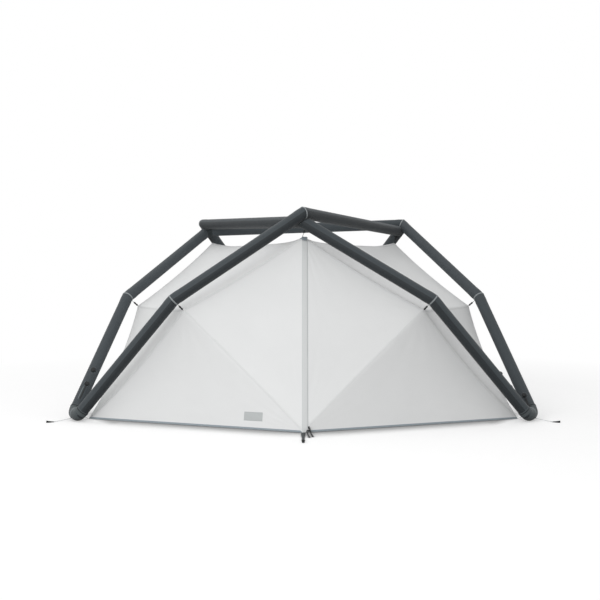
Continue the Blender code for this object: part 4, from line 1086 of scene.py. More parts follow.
def panelUv(panel, points):
    # flat lengths on the panel, along its first edge and square to it, in metres
    first = unit(panel["corners"][1] - panel["corners"][0])
    away = points - panel["corners"][0]
    return np.stack([away @ first, away @ np.cross(panel["normal"], first)], -1)


def facingMiddle(part, outward):
    # a grid's columns are turned round where the faces at its middle point the other way
    grid = part["grid"]
    r, c = grid.shape[0] // 2, grid.shape[1] // 2
    normal = np.cross(grid[r, c] - grid[r, c - 1], grid[r, c] - grid[r - 1, c])
    if normal @ outward < 0:
        part = {**part, "grid": grid[:, ::-1], "uv": np.asarray(part["uv"])[:, ::-1]}
    return part


def panelGrid(panel, places, rows, cols, slot=0):
    # a patch of the panel between four places: 00, 01, 11 and 10
    s = np.linspace(0, 1, rows + 1)[:, None, None]
    t = np.linspace(0, 1, cols + 1)[None, :, None]
    points = onPanel(panel, bilinear(np.array(places, float), t, s))
    return facingMiddle({"grid": points, "uv": panelUv(panel, points), "slot": slot}, panel["normal"])


def lifted(part, by):
    return {**part, "grid": part["grid"] + by}


bandAcross = np.array([0, 0.03, 0.12, 0.5, 0.88, 0.97, 1.0])
bandRise = np.array([-0.9, 0.5, 0.95, 1.0, 0.95, 0.5, -0.9])


def bandOn(panel, edge, inner, width, rise=0.0006, slot=1, count=48):
    # a tape sewn on a panel between two lines, a little raised and with its edges sunk in the cloth
    s = np.linspace(0, 1, count + 1)[:, None, None]
    spots = bilinear(np.array([*edge, *inner[::-1]], float), s, bandAcross[None, :, None])
    points = onPanel(panel, spots, np.broadcast_to(bandRise * rise, spots.shape[:2]))
    uv = uvGrid(bandAcross * width, pathLengths(points[:, 3]))
    return facingMiddle({"grid": points, "uv": uv, "slot": slot}, panel["normal"])


def edgeBand(panel, i, j, width, rise=0.0006, slot=1):
    # a tape along a triangle's edge from corner i to j: its width is a share of the height over that edge
    corners, shares = panel["corners"], np.eye(3)
    k = 3 - i - j
    keep = width / np.linalg.norm(squareTo(corners[i], corners[j], corners[k]))
    ends = shares[[i, j]]
    return bandOn(panel, ends, lerp(ends, shares[k], keep), width, rise, slot)


def quadBand(panel, side, width):
    # a tape along one side of a quad: 0 is v = 0, 2 is v = 1 and 3 is u = 0
    c = panel["corners"]
    if side == 3:
        keep = width / np.linalg.norm((c[1] + c[2] - c[0] - c[3]) / 2)
        return bandOn(panel, [[0, 0], [0, 1]], [[keep, 0], [keep, 1]], width)
    keep = width / np.linalg.norm(c[3] - c[0])
    v, inner = (0, keep) if side == 0 else (1, 1 - keep)
    return bandOn(panel, [[0, v], [1, v]], [[0, inner], [1, inner]], width)


def bandBetween(panel, first, last, towards, width, rise=0.0006, slot=1):
    # a tape along a straight line on a triangle, with its inner line moved towards a place by the width
    a, b, c = (sharesOf(panel, point) for point in (first, last, towards))
    keep = width / np.linalg.norm(squareTo(first, last, towards))
    return bandOn(panel, [a, b], [lerp(a, c, keep), lerp(b, c, keep)], width, rise, slot, 40)


def mirroredPart(part):
    # x changes sign, and the columns turn round so that the faces still look out
    return {**part, "grid": (part["grid"] * [-1, 1, 1])[:, ::-1], "uv": np.asarray(part["uv"])[:, ::-1]}


def withMirror(parts):
    return parts + [mirroredPart(part) for part in parts]


def areaOf(*corners):
    # the area inside flat corners: the sum of a fan of triangles
    spokes = np.array(corners[1:]) - corners[0]
    return float(np.linalg.norm(np.cross(spokes[:-1], spokes[1:]), axis=1).sum() / 2)


def clothPiece(
    name,
    parts,
    finishes,
    nodes=(),
    body="tent",
    turn=0.0,
    weld=clothWeld,
    wall=shell["wall"],
):
    # a cloth with its tapes
    made = piece(name, parts, finishes, body, nodes, turn, weld, wall)
    return made


def shellPanels(which):
    # one third of a shell, with the bows of its seams
    c, bows = shellCorners(which), which["bows"]
    hubKnee = bowVector(c["A"], c["K"], (c["B"], c["K2"]), bows["hubKnee"])
    kneeFoot = bowVector(c["K"], c["F"], (c["B"], c["K2"]), bows["kneeFoot"])
    hubHem = bowVector(c["A"], c["B"], (c["K"], c["K"] * [-1, 1, 1]), bows["hubHem"])
    knees = bowVector(c["K"], c["K2"], (c["A"], c["F"]), bows["knees"])
    hubs = bowVector(c["A"], c["A2"], (c["K"], c["A3"]), bows["hubs"])
    # the knee seam stays where the two panels meet, and only pulls in
    kneeHem = -unit((c["K"] + c["B"]) * [1, 1, 0]) * bows["kneeHem"]
    # the other side of the foot is the mirror image in the foot's own plane
    side = np.cross([0, 0, 1], polar(1.0, feet["left"], 0.0))

    def across(vector):
        return vector - 2 * side * (vector @ side)

    upper = trianglePanel([c["A"], c["K"], c["B"]], [hubKnee, kneeHem, hubHem], 0.4)
    lower = trianglePanel([c["K"], c["F"], c["B"]], [kneeFoot, np.zeros(3), kneeHem], 1.7)
    slope = quadPanel([c["A"], c["K"], c["K2"], c["A2"]], [hubKnee, knees, across(hubKnee), hubs])
    gore = trianglePanel([c["K"], c["F"], c["K2"]], [kneeFoot, across(kneeFoot), knees], 2.6)
    roof = trianglePanel(
        [c["A"], c["A3"], c["A2"]], [turned(hubs, thirdTurn), turned(hubs, 2 * thirdTurn), hubs], 0.9
    )
    roof["normal"] = np.array([0.0, 0.0, 1.0])
    roof["sags"] = slope["sags"] = which is shell["fly"]
    return {"upper": upper, "lower": lower, "slope": slope, "gore": gore, "roof": roof, "corners": c}


flyPanels = shellPanels(shell["fly"])
innerPanels = shellPanels(shell["inner"])
backWalls = (("back_right", thirdTurn), ("back_left", 2 * thirdTurn))


def wallParts(panels, count, tape, slot=0):
    # half a wall: its two panels and the tapes on their seams
    upper, lower = panels["upper"], panels["lower"]
    seams = ((upper, 0, 1), (upper, 1, 2), (lower, 0, 1))
    return [
        panelGrid(upper, whole, count, count, slot),
        panelGrid(lower, whole, count, count),
        *(edgeBand(panel, i, j, tape) for panel, i, j in seams),
    ]


def sideParts(panels, count, tape, slopeSeams, goreSeams):
    # a slope with the gore below it, down to the foot
    slope, gore = panels["slope"], panels["gore"]
    return [
        panelGrid(slope, square, count, count),
        panelGrid(gore, [two, two, three, one], count, count),
        *(quadBand(slope, side, tape) for side in slopeSeams),
        *(edgeBand(gore, i, j, tape) for i, j in goreSeams),
    ]


fly = {
    "tape": 0.014,
    "hem": 0.0120,
    "hemRise": 0.0009,
    "peakBand": 0.030,
    "peakRise": 0.0008,
    "kneeBandShare": 0.012,
    "roofPatch": 0.066,
    "roofPatchBack": 0.004,
    "roofPatchRise": 0.0005,
}
flyFinishes = [flyCloth, seamTape, hemTape, flapCloth]


def makeFly():
    # the back walls, the three sides and the roof
    count, tape = shell["gridCount"], fly["tape"]
    upper, lower, roof = (flyPanels[key] for key in ("upper", "lower", "roof"))
    wall = wallParts(flyPanels, count, tape)
    wall.append(edgeBand(lower, 1, 2, fly["hem"], fly["hemRise"], 2))
    wall.append(edgeBand(upper, 0, 2, tape / 2))
    for name, turn in backWalls:
        nodes = [f"fly_wall_{name}"]
        clothPiece(f"wall_{name}", withMirror(wall), flyFinishes, nodes, turn=turn)
    side = sideParts(flyPanels, count, tape, (0, 2, 3), ((0, 2), (0, 1), (1, 2)))
    for foot, turn in thirds:
        clothPiece(f"side_{foot}", side, flyFinishes, [f"fly_side_{foot}"], turn=turn)
    parts = [panelGrid(roof, whole, count, count)]
    reach = fly["roofPatch"] / np.linalg.norm(roof["corners"][1] - roof["corners"][0])
    for i, j, k in ((0, 1, 2), (1, 2, 0), (2, 0, 1)):
        parts.append(edgeBand(roof, min(i, j), max(i, j), tape))
        corner, left, right = np.eye(3)[[i, j, k]]
        top = lerp(corner, np.full(3, 1 / 3), fly["roofPatchBack"])
        patch = panelGrid(roof, [top, top, lerp(corner, right, reach), lerp(corner, left, reach)], 10, 14, 3)
        parts.append(lifted(patch, roof["normal"] * fly["roofPatchRise"]))
    clothPiece("roof_panel", parts, flyFinishes, ["fly_roof"])


door = {
    "topDrop": 0.075,
    "seamShare": 0.26,
    "hemShare": 0.45,
    "leftEdge": -0.0040,
    "zipMiddle": 0.0256,
    "zipRight": 0.029,
    "topGap": 0.006,
    "hemHeight": 0.0042,
    "rows": 160,
    # the storm flap: its two edges, and shares of its width with how far each one stands out
    "flapEdges": (-0.0080, 0.0268),
    "flapAcross": (0, 0.02, 0.08, 0.25, 0.5, 0.75, 0.92, 0.98, 1.0),
    "flapLift": (-0.0002, 0.0006, 0.0010, 0.0018, 0.0024, 0.0026, 0.0025, 0.0022, 0.0012),
    "flapWall": 0.0010,
    # the flap's top ends this far below the peak, and its cap reaches down and up from there
    "peakGap": 0.004,
    "capRange": (-0.020, 0.001),
    "capEdge": 0.021,
    "capLift": 0.0036,
    # the zip: its tape reaches from near the middle to both sides, and its wire is a flattened coil
    "tapeWidth": 0.0070,
    "tapeGap": 0.0001,
    "tapeOver": 0.0005,
    "tapeLift": 0.0002,
    "coilSide": 0.0010,
    "coilLift": 0.0012,
    "coilBack": 0.004,
    "coilPitch": 0.0022,
    "coilRadius": 0.0009,
    "coilStretch": (1.3, 0.8),
    "coilWire": 0.00045,
}
stripOut = unit(np.array([0.0, -1.0, 0.40]))


def planeDepth(panels, x, z):
    # the upper panel's y at an x and a z: the plane through the peak, square to the normal
    peak, n = panels["corners"]["A"], panels["upper"]["normal"]
    return peak[1] - ((x - peak[0]) * n[0] + (z - peak[2]) * n[2]) / n[1]


def doorCorners(edge, sizes, panels):
    # the corners of the left door half, as the part's own
    c = panels["corners"]
    topZ = c["A"][2] - sizes["topDrop"]

    def atEdge(a, b):
        return lerp(a, b, (edge - a[0]) / (b[0] - a[0]))

    return {
        "top": np.array([edge, planeDepth(panels, edge, topZ), topZ]),
        "ridge": np.array([0.0, planeDepth(panels, 0.0, topZ), topZ]),
        "seam": lerp(c["K"], c["B"], sizes["seamShare"]),
        "bottom": lerp(c["B"], c["F"], sizes["hemShare"]),
        "seamEdge": atEdge(c["K"], c["B"]),
        "hemEdge": atEdge(c["F"], c["B"]),
    }


def frontParts(edge):
    # the fixed panel and the door half of one side, each with its plane area
    count, tape, hem = shell["gridCount"], fly["tape"], (fly["hem"], fly["hemRise"], 2)
    upper, lower, c = (flyPanels[key] for key in ("upper", "lower", "corners"))
    d = doorCorners(edge, door, flyPanels)
    up = {key: sharesOf(upper, d[key]) for key in ("top", "ridge", "seam", "seamEdge")}
    low = {key: sharesOf(lower, d[key]) for key in ("seam", "bottom", "hemEdge", "seamEdge")}
    reach = [fly["peakBand"] / np.linalg.norm(upper["corners"][k] - upper["corners"][0]) for k in (1, 2)]
    peak = panelGrid(upper, [one, one, lerp(one, two, reach[0]), lerp(one, three, reach[1] / 2)], 8, 8, 2)
    knee = np.array([two, up["seam"]])
    fixed = [
        lifted(peak, upper["normal"] * fly["peakRise"]),
        panelGrid(upper, [one, two, up["seam"], up["top"]], count, count),
        panelGrid(upper, [one, one, up["ridge"], up["top"]], count, 6),
        panelGrid(lower, [one, two, low["bottom"], low["seam"]], count, count),
        edgeBand(upper, 0, 1, tape),
        bandOn(upper, knee, lerp(knee, one, fly["kneeBandShare"]), tape, count=24),
        edgeBand(lower, 0, 1, tape),
        bandBetween(lower, c["F"], d["bottom"], c["K"], *hem),
    ]
    moving = [
        panelGrid(upper, [up["top"], up["top"], up["seamEdge"], up["seam"]], count, count),
        panelGrid(lower, [low["seam"], low["seamEdge"], low["hemEdge"], low["bottom"]], 16, count),
        bandBetween(upper, d["seam"], d["seamEdge"], d["top"], tape),
        bandBetween(lower, d["bottom"], d["hemEdge"], c["K"], *hem),
    ]
    fixedArea = areaOf(c["A"], c["K"], d["seam"], d["top"]) + areaOf(c["K"], c["F"], d["bottom"], d["seam"])
    movingArea = areaOf(d["top"], d["seam"], d["seamEdge"])
    movingArea += areaOf(d["seam"], d["bottom"], d["hemEdge"], d["seamEdge"])
    return (fixed, fixedArea), (moving, movingArea)


def edgeLine(edge, z):
    # the cloth's own line down a door half's edge: its point at each height
    upper, lower = flyPanels["upper"], flyPanels["lower"]
    d = doorCorners(edge, door, flyPanels)
    t = np.linspace(0, 1, 80)[:, None]
    high = onTriangle(upper, lerp(sharesOf(upper, d["top"]), sharesOf(upper, d["seamEdge"]), t))
    base = onTriangle(lower, lerp(sharesOf(lower, d["seamEdge"]), sharesOf(lower, d["hemEdge"]), t))
    points = np.concatenate([high, base[1:]])[::-1]
    return np.stack([np.interp(z, points[:, 2], points[:, k]) for k in range(3)], -1)


def stripPoints(x, z, lift):
    # a point on the strip between the two halves, as a share of the way from one edge to the other
    left = edgeLine(door["leftEdge"], z)
    right = edgeLine(-door["zipRight"], z) * [-1, 1, 1]
    share = (np.asarray(x) - door["leftEdge"]) / (door["zipRight"] - door["leftEdge"])
    points = lerp(left[:, None], right[:, None], np.broadcast_to(share, (len(z), np.size(x)))[..., None])
    return points + np.broadcast_to(lift, points.shape[:2])[..., None] * stripOut


def topPoints(x, z, lift):
    # the same strip carried on up to the peak, over the two fixed panels
    peakZ = flyPanels["corners"]["A"][2]
    y = planeDepth(flyPanels, -np.abs(x)[None], z[:, None])
    points = np.stack([np.broadcast_to(x, y.shape), y, np.broadcast_to(z[:, None], y.shape)], -1)
    # at its foot it lies as deep as the door's edge does
    sunk = edgeLine(door["leftEdge"], z[:1])[0, 1] - planeDepth(flyPanels, door["leftEdge"], z[0])
    points[..., 1] += (sunk * (peakZ - z) / (peakZ - z[0]))[:, None]
    return points + np.broadcast_to(lift, y.shape)[..., None] * stripOut


def stripPart(x, points, slot=0):
    # a grid on the strip, with u across it and v along it
    uv = uvGrid(x - np.min(x), pathLengths(points[:, 0]))
    return facingMiddle({"grid": points, "uv": uv, "slot": slot}, stripOut)


def makeFront():
    # each side's fixed panel and door half; the right side is mirrored
    for side, edge in (("left", door["leftEdge"]), ("right", -door["zipRight"])):
        (fixed, fixedArea), (moving, movingArea) = frontParts(edge)
        if side == "right":
            fixed, moving = ([mirroredPart(part) for part in parts] for parts in (fixed, moving))
        nodes = [f"fly_front_{side}"]
        clothPiece(f"front_{side}", fixed, flyFinishes, nodes)
        nodes, body = [f"door_{side}"], f"door_{side}_half"
        clothPiece(f"door_half_{side}", moving, flyFinishes, nodes, body=body)


def makeFlap(z):
    # the storm flap goes with the left half, and its top stays on the fixed panel under a cap
    x = lerp(*door["flapEdges"], np.array(door["flapAcross"]))
    lift, width = np.array(door["flapLift"]), float(x[-1] - x[0])
    topZ = np.linspace(z[-1] + 0.0002, flyPanels["corners"]["A"][2] - door["peakGap"], 16)
    top = topPoints(x, topZ, lift)
    capX = np.linspace(x[0] - 0.001, door["capEdge"], 5)
    cap = topPoints(capX, topZ[-1] + np.linspace(*door["capRange"], 5), door["capLift"])
    clothPiece(
        "flap_top",
        [stripPart(x, top), stripPart(capX, cap, 1)],
        [flapBand, hemTape],
        weld=0.0,
        wall=door["flapWall"],
    )
    grid = stripPoints(x, z, lift)
    clothPiece(
        "flap_band",
        [stripPart(x, grid)],
        [flapBand],
        ["storm_flap"],
        body="door_left_half",
        wall=door["flapWall"],
    )


def makeZip(z):
    # the two halves of the chain, each on its tape
    middle, sideways = door["zipMiddle"], np.array([1.0, 0, 0])
    stretch, flatten = door["coilStretch"]
    for side, low, high, wire in (
        ("left", middle - door["tapeWidth"], middle - door["tapeGap"], middle - door["coilSide"]),
        ("right", middle + door["tapeGap"], door["zipRight"] + door["tapeOver"], middle + door["coilSide"]),
    ):
        x = np.linspace(low, high, 3)
        grid = stripPoints(x, z, door["tapeLift"])
        # the wire runs round its own line, six steps to a turn
        turns = int(pathLengths(grid[:, 0])[-1] / door["coilPitch"])
        steps = np.linspace(0, 1, turns * 6 + 1)
        heights = lerp(z[0] + door["coilBack"], z[-1] - door["coilBack"], steps)
        angle = steps[:, None] * turns * 2 * math.pi
        ring = np.cos(angle) * sideways * stretch + np.sin(angle) * stripOut * flatten
        path = stripPoints(np.array([wire]), heights, door["coilLift"])[:, 0] + ring * door["coilRadius"]
        coil = closedTube(sweep(path, door["coilWire"], 5, unit(np.cross(sideways, stripOut))))
        parts = [coil, stripPart(x, grid, 1)]
        nodes, body = [f"zip_chain_{side}"], f"door_{side}_half"
        piece(f"zip_half_{side}", parts, [zipNylon, zipTape], body, nodes, weld=0.0)


makeBoots()
print("boots made")
makeFly()
print("fly made")
makeFront()
doorHeights = np.linspace(
    door["hemHeight"], shell["fly"]["hub"][1] - door["topDrop"] - door["topGap"], door["rows"]
)
makeFlap(doorHeights)
makeZip(doorHeights)
print("front, door and zip made")


# Things on the tubes: the piping at the bends, patches, and the valves' finishes

onTube = {
    "pipingWidth": 0.0085,
    # the under bend's black webbing guard: its wide dark band also serves as painted shade under the crossing
    # tube
    "guardAndShadeWidth": 0.052,
    "pipingRise": 0.0011,
    "pressBack": 0.0012,
    # each valve: its leg, metres from the foot and azimuth, its patch, and its ring of stitches
    "valves": {
        "lock": (("start", 0.112, 138.0), (0.056, 0.050), (0.0215, 40)),
        "inflation": (("end", 0.307, 155.0), (0.058, 0.052), (0.0225, 42)),
        "relief": (("end", 0.201, 155.0), (0.050, 0.046), (0.0195, 36)),
    },
    "patchRise": 0.0006,
    # the access slits: place, length, width, rise, squareness, finish and how far they lie to one side
    "slits": (
        (("end", 0.135, 155.0), 0.132, 0.034, 0.0010, 5.0, 0, 0.0),
        (("end", 0.135, 155.0), 0.112, 0.0095, 0.0016, 4.0, 1, 0.0),
        (("end", 0.128, 155.0), 0.100, 0.0055, 0.0018, 4.0, 2, -0.0125),
        (("start", 0.076, 138.0), 0.042, 0.0110, 0.0010, 3.0, 1, 0.0),
    ),
    "guard": (("start", 0.034, 129.0), 0.050, 0.025, 0.0012, 2.4, 1, 0.0),
    "stitch": {"half": 0.0013, "radius": 0.0004, "rise": 0.0009},
    # the grip's ribs on a valve: the part, its body, the ring's radius, and two heights over the tube
    "ribs": (
        ("inflation", "cap", 0.0125, 0.0045, 0.0135),
        ("lock", "knob", 0.0110, 0.0092, 0.0162),
    ),
    "ribRadius": 0.0008,
    "ribCount": 18,
    "finishes": {
        "inflation_valve": valvePlastic,
        "lock_valve": valvePlastic,
        "relief_valve": blackPlastic,
        "inflation_cap": blackPlastic,
        "lock_knob": blackPlastic,
        "foot_peg": pegMetal,
    },
}


def legFrame(leg, fromFoot, azimuth):
    # a place on a leg, the leg's own direction, and two directions square to it
    foot, knee = (line[0], line[1]) if leg == "start" else (line[5], line[4])
    run = unit(knee - foot)
    wanted = polar(1.0, azimuth, 0.0)
    across = unit(wanted - run * (wanted @ run))
    return foot + run * fromFoot, across, run, np.cross(run, across)


def joined(uv):
    # the first column again at the end, where a grid closes round
    return np.concatenate([uv, uv[:, :1]], 1)


def tubePatch(place, length, width, rise, squareness=2.0, slot=0, aside=0.0, radius=arch["tubeRadius"]):
    # a superellipse laid on the tube: lengths across it become angles round it
    spot, across, run, side = legFrame(*place)
    t = np.linspace(0, 2 * math.pi, 72, endpoint=False)
    reach = np.concatenate([np.linspace(0, 0.94, 9), [0.975, 1.0]])[:, None]
    lift = np.concatenate([np.full(9, 1.0), [0.7, -0.5]])[:, None] * rise
    power = 2 / squareness
    a = np.sign(np.cos(t)) * np.abs(np.cos(t)) ** power * reach * length / 2
    b = np.sign(np.sin(t)) * np.abs(np.sin(t)) ** power * reach * width / 2 + aside
    angle = (b / radius)[..., None]
    out = np.cos(angle) * across + np.sin(angle) * side
    grid = spot + run * a[..., None] + out * (radius + lift)[..., None]
    return {"grid": grid, "uv": joined(np.stack([b, a], -1)), "wrapAcross": True, "slot": slot}


def mitreBand(index, width, slot=0):
    # a tape that covers a bend's seam, half on each run
    across = np.array([-0.5, -0.42, -0.25, 0, 0.25, 0.42, 0.5])
    swell = np.array([-0.9, 0.5, 0.9, 1.0, 0.9, 0.5, -0.9]) * onTube["pipingRise"]
    rings = []
    for share, rise in zip(across, swell):
        run = runs[index - 1] if share < 0 else runs[index]
        rings.append(mitreRing(index, arch["tubeRadius"] + rise) + run * share * width)
    grid = np.array(rings)
    reach = arch["tubeRadius"] + arch["pressGap"] - onTube["pressBack"]
    uv = roundUv(arch["tubeRadius"], arch["sides"], (across + 0.5) * width)[..., ::-1]
    return {"grid": pressed(grid, line[index] + 0 * grid, reach), "uv": uv, "wrapAcross": True, "slot": slot}


def stitchRing(place, radius, count):
    # small raised stitches round a patch: short capsules in a circle on the tube
    spot, across, run, side = legFrame(*place)
    stitch = onTube["stitch"]
    parts = []
    for angle in np.linspace(0, 2 * math.pi, count, endpoint=False):
        a = radius * math.cos(angle)
        b = radius * math.sin(angle) / arch["tubeRadius"]
        out = math.cos(b) * across + math.sin(b) * side
        middle = spot + run * a + out * (arch["tubeRadius"] + stitch["rise"])
        reach = unit(-math.sin(angle) * run + math.cos(angle) * np.cross(run, out)) * stitch["half"]
        parts.append(bar(middle - reach, middle + reach, stitch["radius"], 6))
    return parts


def gripRibs(place, radius, low, high):
    # fingers' grip: rounded ribs round a cap, from one height over the tube to another
    spot, across, run, side = legFrame(*place)
    parts = []
    for angle in np.linspace(0, 2 * math.pi, onTube["ribCount"], endpoint=False):
        out = math.cos(angle) * run + math.sin(angle) * side
        foot = spot + across * arch["tubeRadius"] + out * radius
        parts.append(bar(foot + across * low, foot + across * high, onTube["ribRadius"], 8))
    return parts


def refinish(name, finish):
    mesh = cadNodes[name].data
    mesh.materials.clear()
    mesh.materials.append(finish)


def makeTubeDetails():
    # the bands, patches, stitches and ribs of one third, turned to all three
    valves = onTube["valves"]
    bands = [mitreBand(index, onTube["pipingWidth"]) for index in (1, 2, 4)]
    # a wide black webbing guard round the under bend; its dark band also stands in for painted shade under
    # the crossing tube
    bands.append(mitreBand(3, onTube["guardAndShadeWidth"], 1))
    patches = [tubePatch(place, *size, onTube["patchRise"]) for place, size, ring in valves.values()]
    patches += [tubePatch(*slit) for slit in onTube["slits"]]
    patches.append(tubePatch(*onTube["guard"], radius=boot["radius"] + 0.0004))
    stitches = [stitch for place, size, ring in valves.values() for stitch in stitchRing(place, *ring)]
    for foot, turn in thirds:
        piece(f"piping_{foot}", bands, [pipingTape, webbing], turn=turn, weld=0.0)
        piece(f"patches_{foot}", patches, [patchCloth, blackPlastic, bootWebbing], turn=turn)
        piece(f"stitches_{foot}", stitches, [pipingTape], turn=turn)
        for name, finish in onTube["finishes"].items():
            refinish(f"{name}_{foot}", finish)
        for valve, name, *sizes in onTube["ribs"]:
            ribs = gripRibs(valves[valve][0], *sizes)
            piece(f"{name}_ribs_{foot}", ribs, [blackPlastic], f"{name}_{foot}", turn=turn)


# Ties from the fly to the tubes, the zip's pulls, the label, guys and pegs

cord = {"diameter": 0.0030, "sides": 14}
tie = {
    "tubeReach": 0.0385,
    "startBack": 0.002,
    "bow": 0.0012,
    "hubShift": 0.026,
    "peakShift": 0.004,
    "hookRadius": 0.0064,
    "hookLength": 0.032,
    "hookBack": 0.001,
    "eye": (0.0055, 0.0016),
    "eyeGap": 0.003,
    "toggleRadius": 0.0058,
    "toggleLength": 0.034,
    "toggleGap": 0.003,
    # shares of the toggle's radius and of its length: waisted in the middle
    "toggle": (
        *((0, 0), (0.6, 0), (1, 0.12), (1, 0.34), (0.82, 0.44)),
        *((0.82, 0.56), (1, 0.66), (1, 0.88), (0.6, 1), (0, 1)),
    ),
}
pull = {
    "grip": 0.0042,
    "gripShare": 0.88,
    "gripEnd": 0.65,
    "gripTaper": 1.5,
    "inset": 0.0006,
    "lower": [
        (0.0245, -1.3000, 0.0215),
        (0.0215, -1.3065, 0.0150),
        (0.0233, -1.3170, 0.0070),
        (0.0265, -1.3450, 0.0046),
        (0.0308, -1.3850, 0.0046),
        (0.0355, -1.4300, 0.0046),
    ],
    "upper": [
        (0.0350, -1.2860, 0.0355),
        (0.0380, -1.2935, 0.0265),
        (0.0420, -1.3050, 0.0115),
        (0.0442, -1.3200, 0.0052),
        (0.0480, -1.3500, 0.0046),
        (0.0515, -1.3800, 0.0046),
        (0.0547, -1.4090, 0.0046),
    ],
}


def crossHint(path):
    # the axis that a path never runs along
    return np.eye(3)[np.abs(unit(np.gradient(path, axis=0))).max(0).argmin()]


def cordPiece(
    name,
    path,
    finish,
    pieces,
    nodes=(),
    body="tent",
    slotName="guy_cord",
    farEnd="object",
    lay="taut",
):
    # a round cord along its path, closed at both ends
    lengths, diameter = pathLengths(path), cord["diameter"]
    grid = sweep(path, diameter / 2, cord["sides"], crossHint(path))
    part = closedTube(grid, roundUv(diameter / 2, cord["sides"], lengths))
    made = piece(name, [part], [finish], body, nodes, weld=0.0)


def makeTie(name, corner, bend, turn, atHub):
    # a cord from the fly to the tube, with a hook at a hub and a toggle at a knee
    corner, bend = turned(corner, turn), turned(bend, turn)
    if atHub:  # hooked a little to one side of the peak
        bend = bend + turned([tie["hubShift"], 0.0, 0.0], turn)
        corner = corner - turned([tie["peakShift"], 0.0, 0.0], turn)
    along = unit(bend - corner)
    start, end = corner - along * tie["startBack"], bend - along * tie["tubeReach"]
    bow = np.cross(along, [0.3, 0.2, 0.9]) * tie["bow"]
    path = smoothPath([start, lerp(start, end, 0.35) + bow, lerp(start, end, 0.7) - bow, end], 0.004)
    if atHub:
        hook = bar(end - along * tie["hookLength"], end - along * tie["hookBack"], tie["hookRadius"])
        place = end - along * (tie["hookLength"] + tie["eyeGap"])
        fitting = [hook, hoop(*tie["eye"], place, np.cross(along, [1.0, 0, 0]), 20)]
    else:
        profile = np.array(tie["toggle"]) * (tie["toggleRadius"], tie["toggleLength"])
        toggle = turnedProfile(profile, corner + along * tie["toggleGap"], along, 24)
        fitting = [{"grid": toggle, "wrapAcross": True}]
    made = piece(f"tie_fitting_{name}", fitting, [blackPlastic])
    cordPiece(f"tie_{name}", path, blackBraid, [made])


def makeTies():
    c = flyPanels["corners"]
    for foot, turn in thirds:
        makeTie(f"hub_{foot}", c["A"], turned(line[3], -thirdTurn), turn, True)
        makeTie(f"knee_{foot}_front", c["K"], line[1], turn, False)
        makeTie(f"knee_{foot}_back", c["K2"], turned(line[4], thirdTurn), turn, False)


def makePulls():
    # a cord from each slider's front, with a grip over most of it
    for name in ("lower", "upper"):
        slider, body = f"zip_slider_{name}", f"slider_{name}"
        refinish(slider, blackPlastic)
        low, high = (np.array(corner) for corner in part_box(slider))
        face = np.array([(low[0] + high[0]) / 2, low[1] + pull["inset"], (low[2] + high[2]) / 2])
        path = smoothPath([face, *pull[name]], 0.004)
        # the grip is thinner at both ends
        start = int(len(path) * (1 - pull["gripShare"]))
        ends = np.clip(np.arange(len(path) - start) / pull["gripTaper"], 0, 1)
        ends = lerp(pull["gripEnd"], 1.0, np.minimum(ends, ends[::-1]))
        grip = closedTube(sweep(path[start:], pull["grip"] * ends, cord["sides"], crossHint(path)))
        made = piece(f"pull_grip_{name}", [grip], [blackPlastic], body)
        use = {"nodes": [f"zip_pull_{name}"], "slotName": "pull_cord", "farEnd": "fitting", "lay": "loose"}
        cordPiece(f"pull_cord_{name}", path, blackBraid, [made], body=body, **use)


label = {
    "offset": 0.302,
    "lift": 0.050,
    "width": 0.120,
    "height": 0.052,
    "rise": 0.0009,
    "under": 0.0002,
    "edge": 0.03,
    "shares": (0, 0.02, 0.06, *np.linspace(0.1, 0.9, 10), 0.94, 0.98, 1.0),
}


def makeLabel():
    # a bare cloth label above the hem, beside the front's middle
    lower, c = flyPanels["lower"], flyPanels["corners"]
    alongHem = unit(c["B"] - c["F"])
    slant = np.cross(lower["normal"], alongHem)
    slant = unit(slant if slant[2] > 0 else -slant)
    base = c["B"] - alongHem * label["offset"] / abs(alongHem[0]) + slant * label["lift"]
    width, height, s = label["width"], label["height"], np.array(label["shares"])
    spots = [
        sharesOf(lower, base + alongHem * across * width / 2 + slant * share * height)
        for across, share in ((-1, 0), (1, 0), (1, 1), (-1, 1))
    ]
    # it lies flat on the cloth at its edges and stands off inside them
    lift = np.minimum(np.minimum(s, 1 - s) / label["edge"], 1.0)
    rise = np.minimum(lift[:, None], lift[None]) * label["rise"] + label["under"]
    grid = onTriangle(lower, bilinear(spots, s[None, :, None], s[:, None, None]), rise)
    uv = uvGrid(s * width, s * height)[..., ::-1]
    clothPiece(
        "label_cloth_piece",
        [facingMiddle({"grid": grid, "uv": uv}, lower["normal"])],
        [labelWeave],
        ["label_patch"],
        body="door_left_half",
    )


# places here are metres from the tent's axis and heights over the floor
rigging = {
    "guyFrom": (1.6838, 0.0160),
    "guyTo": (1.7912, 0.0020),
    "guySag": 0.0006,
    "guyEye": (0.0052, 0.0013),
    "guyEyePlace": (1.7985, 0.0052),
    "guyEyeLean": -0.22,
    # the knot: how far it reaches back and up from the cord's end, and its radius
    "knot": (0.010, 0.0012, 0.0004, 0.0026),
    "bootTab": ((1.668, 0.024), (1.680, 0.020), (1.688, 0.0163)),
    "bootTabSize": (0.009, 0.0012),
    "tabFrom": 1.262,
    "tabTo": 1.500,
    "tabHeight": 0.0030,
    "tabWidths": (0.024, 0.013),
    "tabThickness": 0.0014,
    "fold": (1.480, 1.504),
    "foldHeight": 0.0042,
    "foldSize": (0.0052, 0.0016),
    "ring": (0.0075, 0.0014),
    "ringHeight": 0.0036,
    "pegRadius": 1.577,
    "ringBack": 0.002,
    # the loop's turns round the peg and through the ring: their middles past peg and ring, and their radii
    "loopTip": (0.0005, 0.0068),
    "loopRoot": (0.001, 0.0035),
    "loopHeight": 0.0042,
    "pegHead": (
        *((0, 0.0138), (0.0078, 0.0110), (0.0094, 0.0135)),
        *((0.0080, 0.0172), (0.0044, 0.0196), (0, 0.0204)),
    ),
}
up = np.array([0, 0, 1.0])


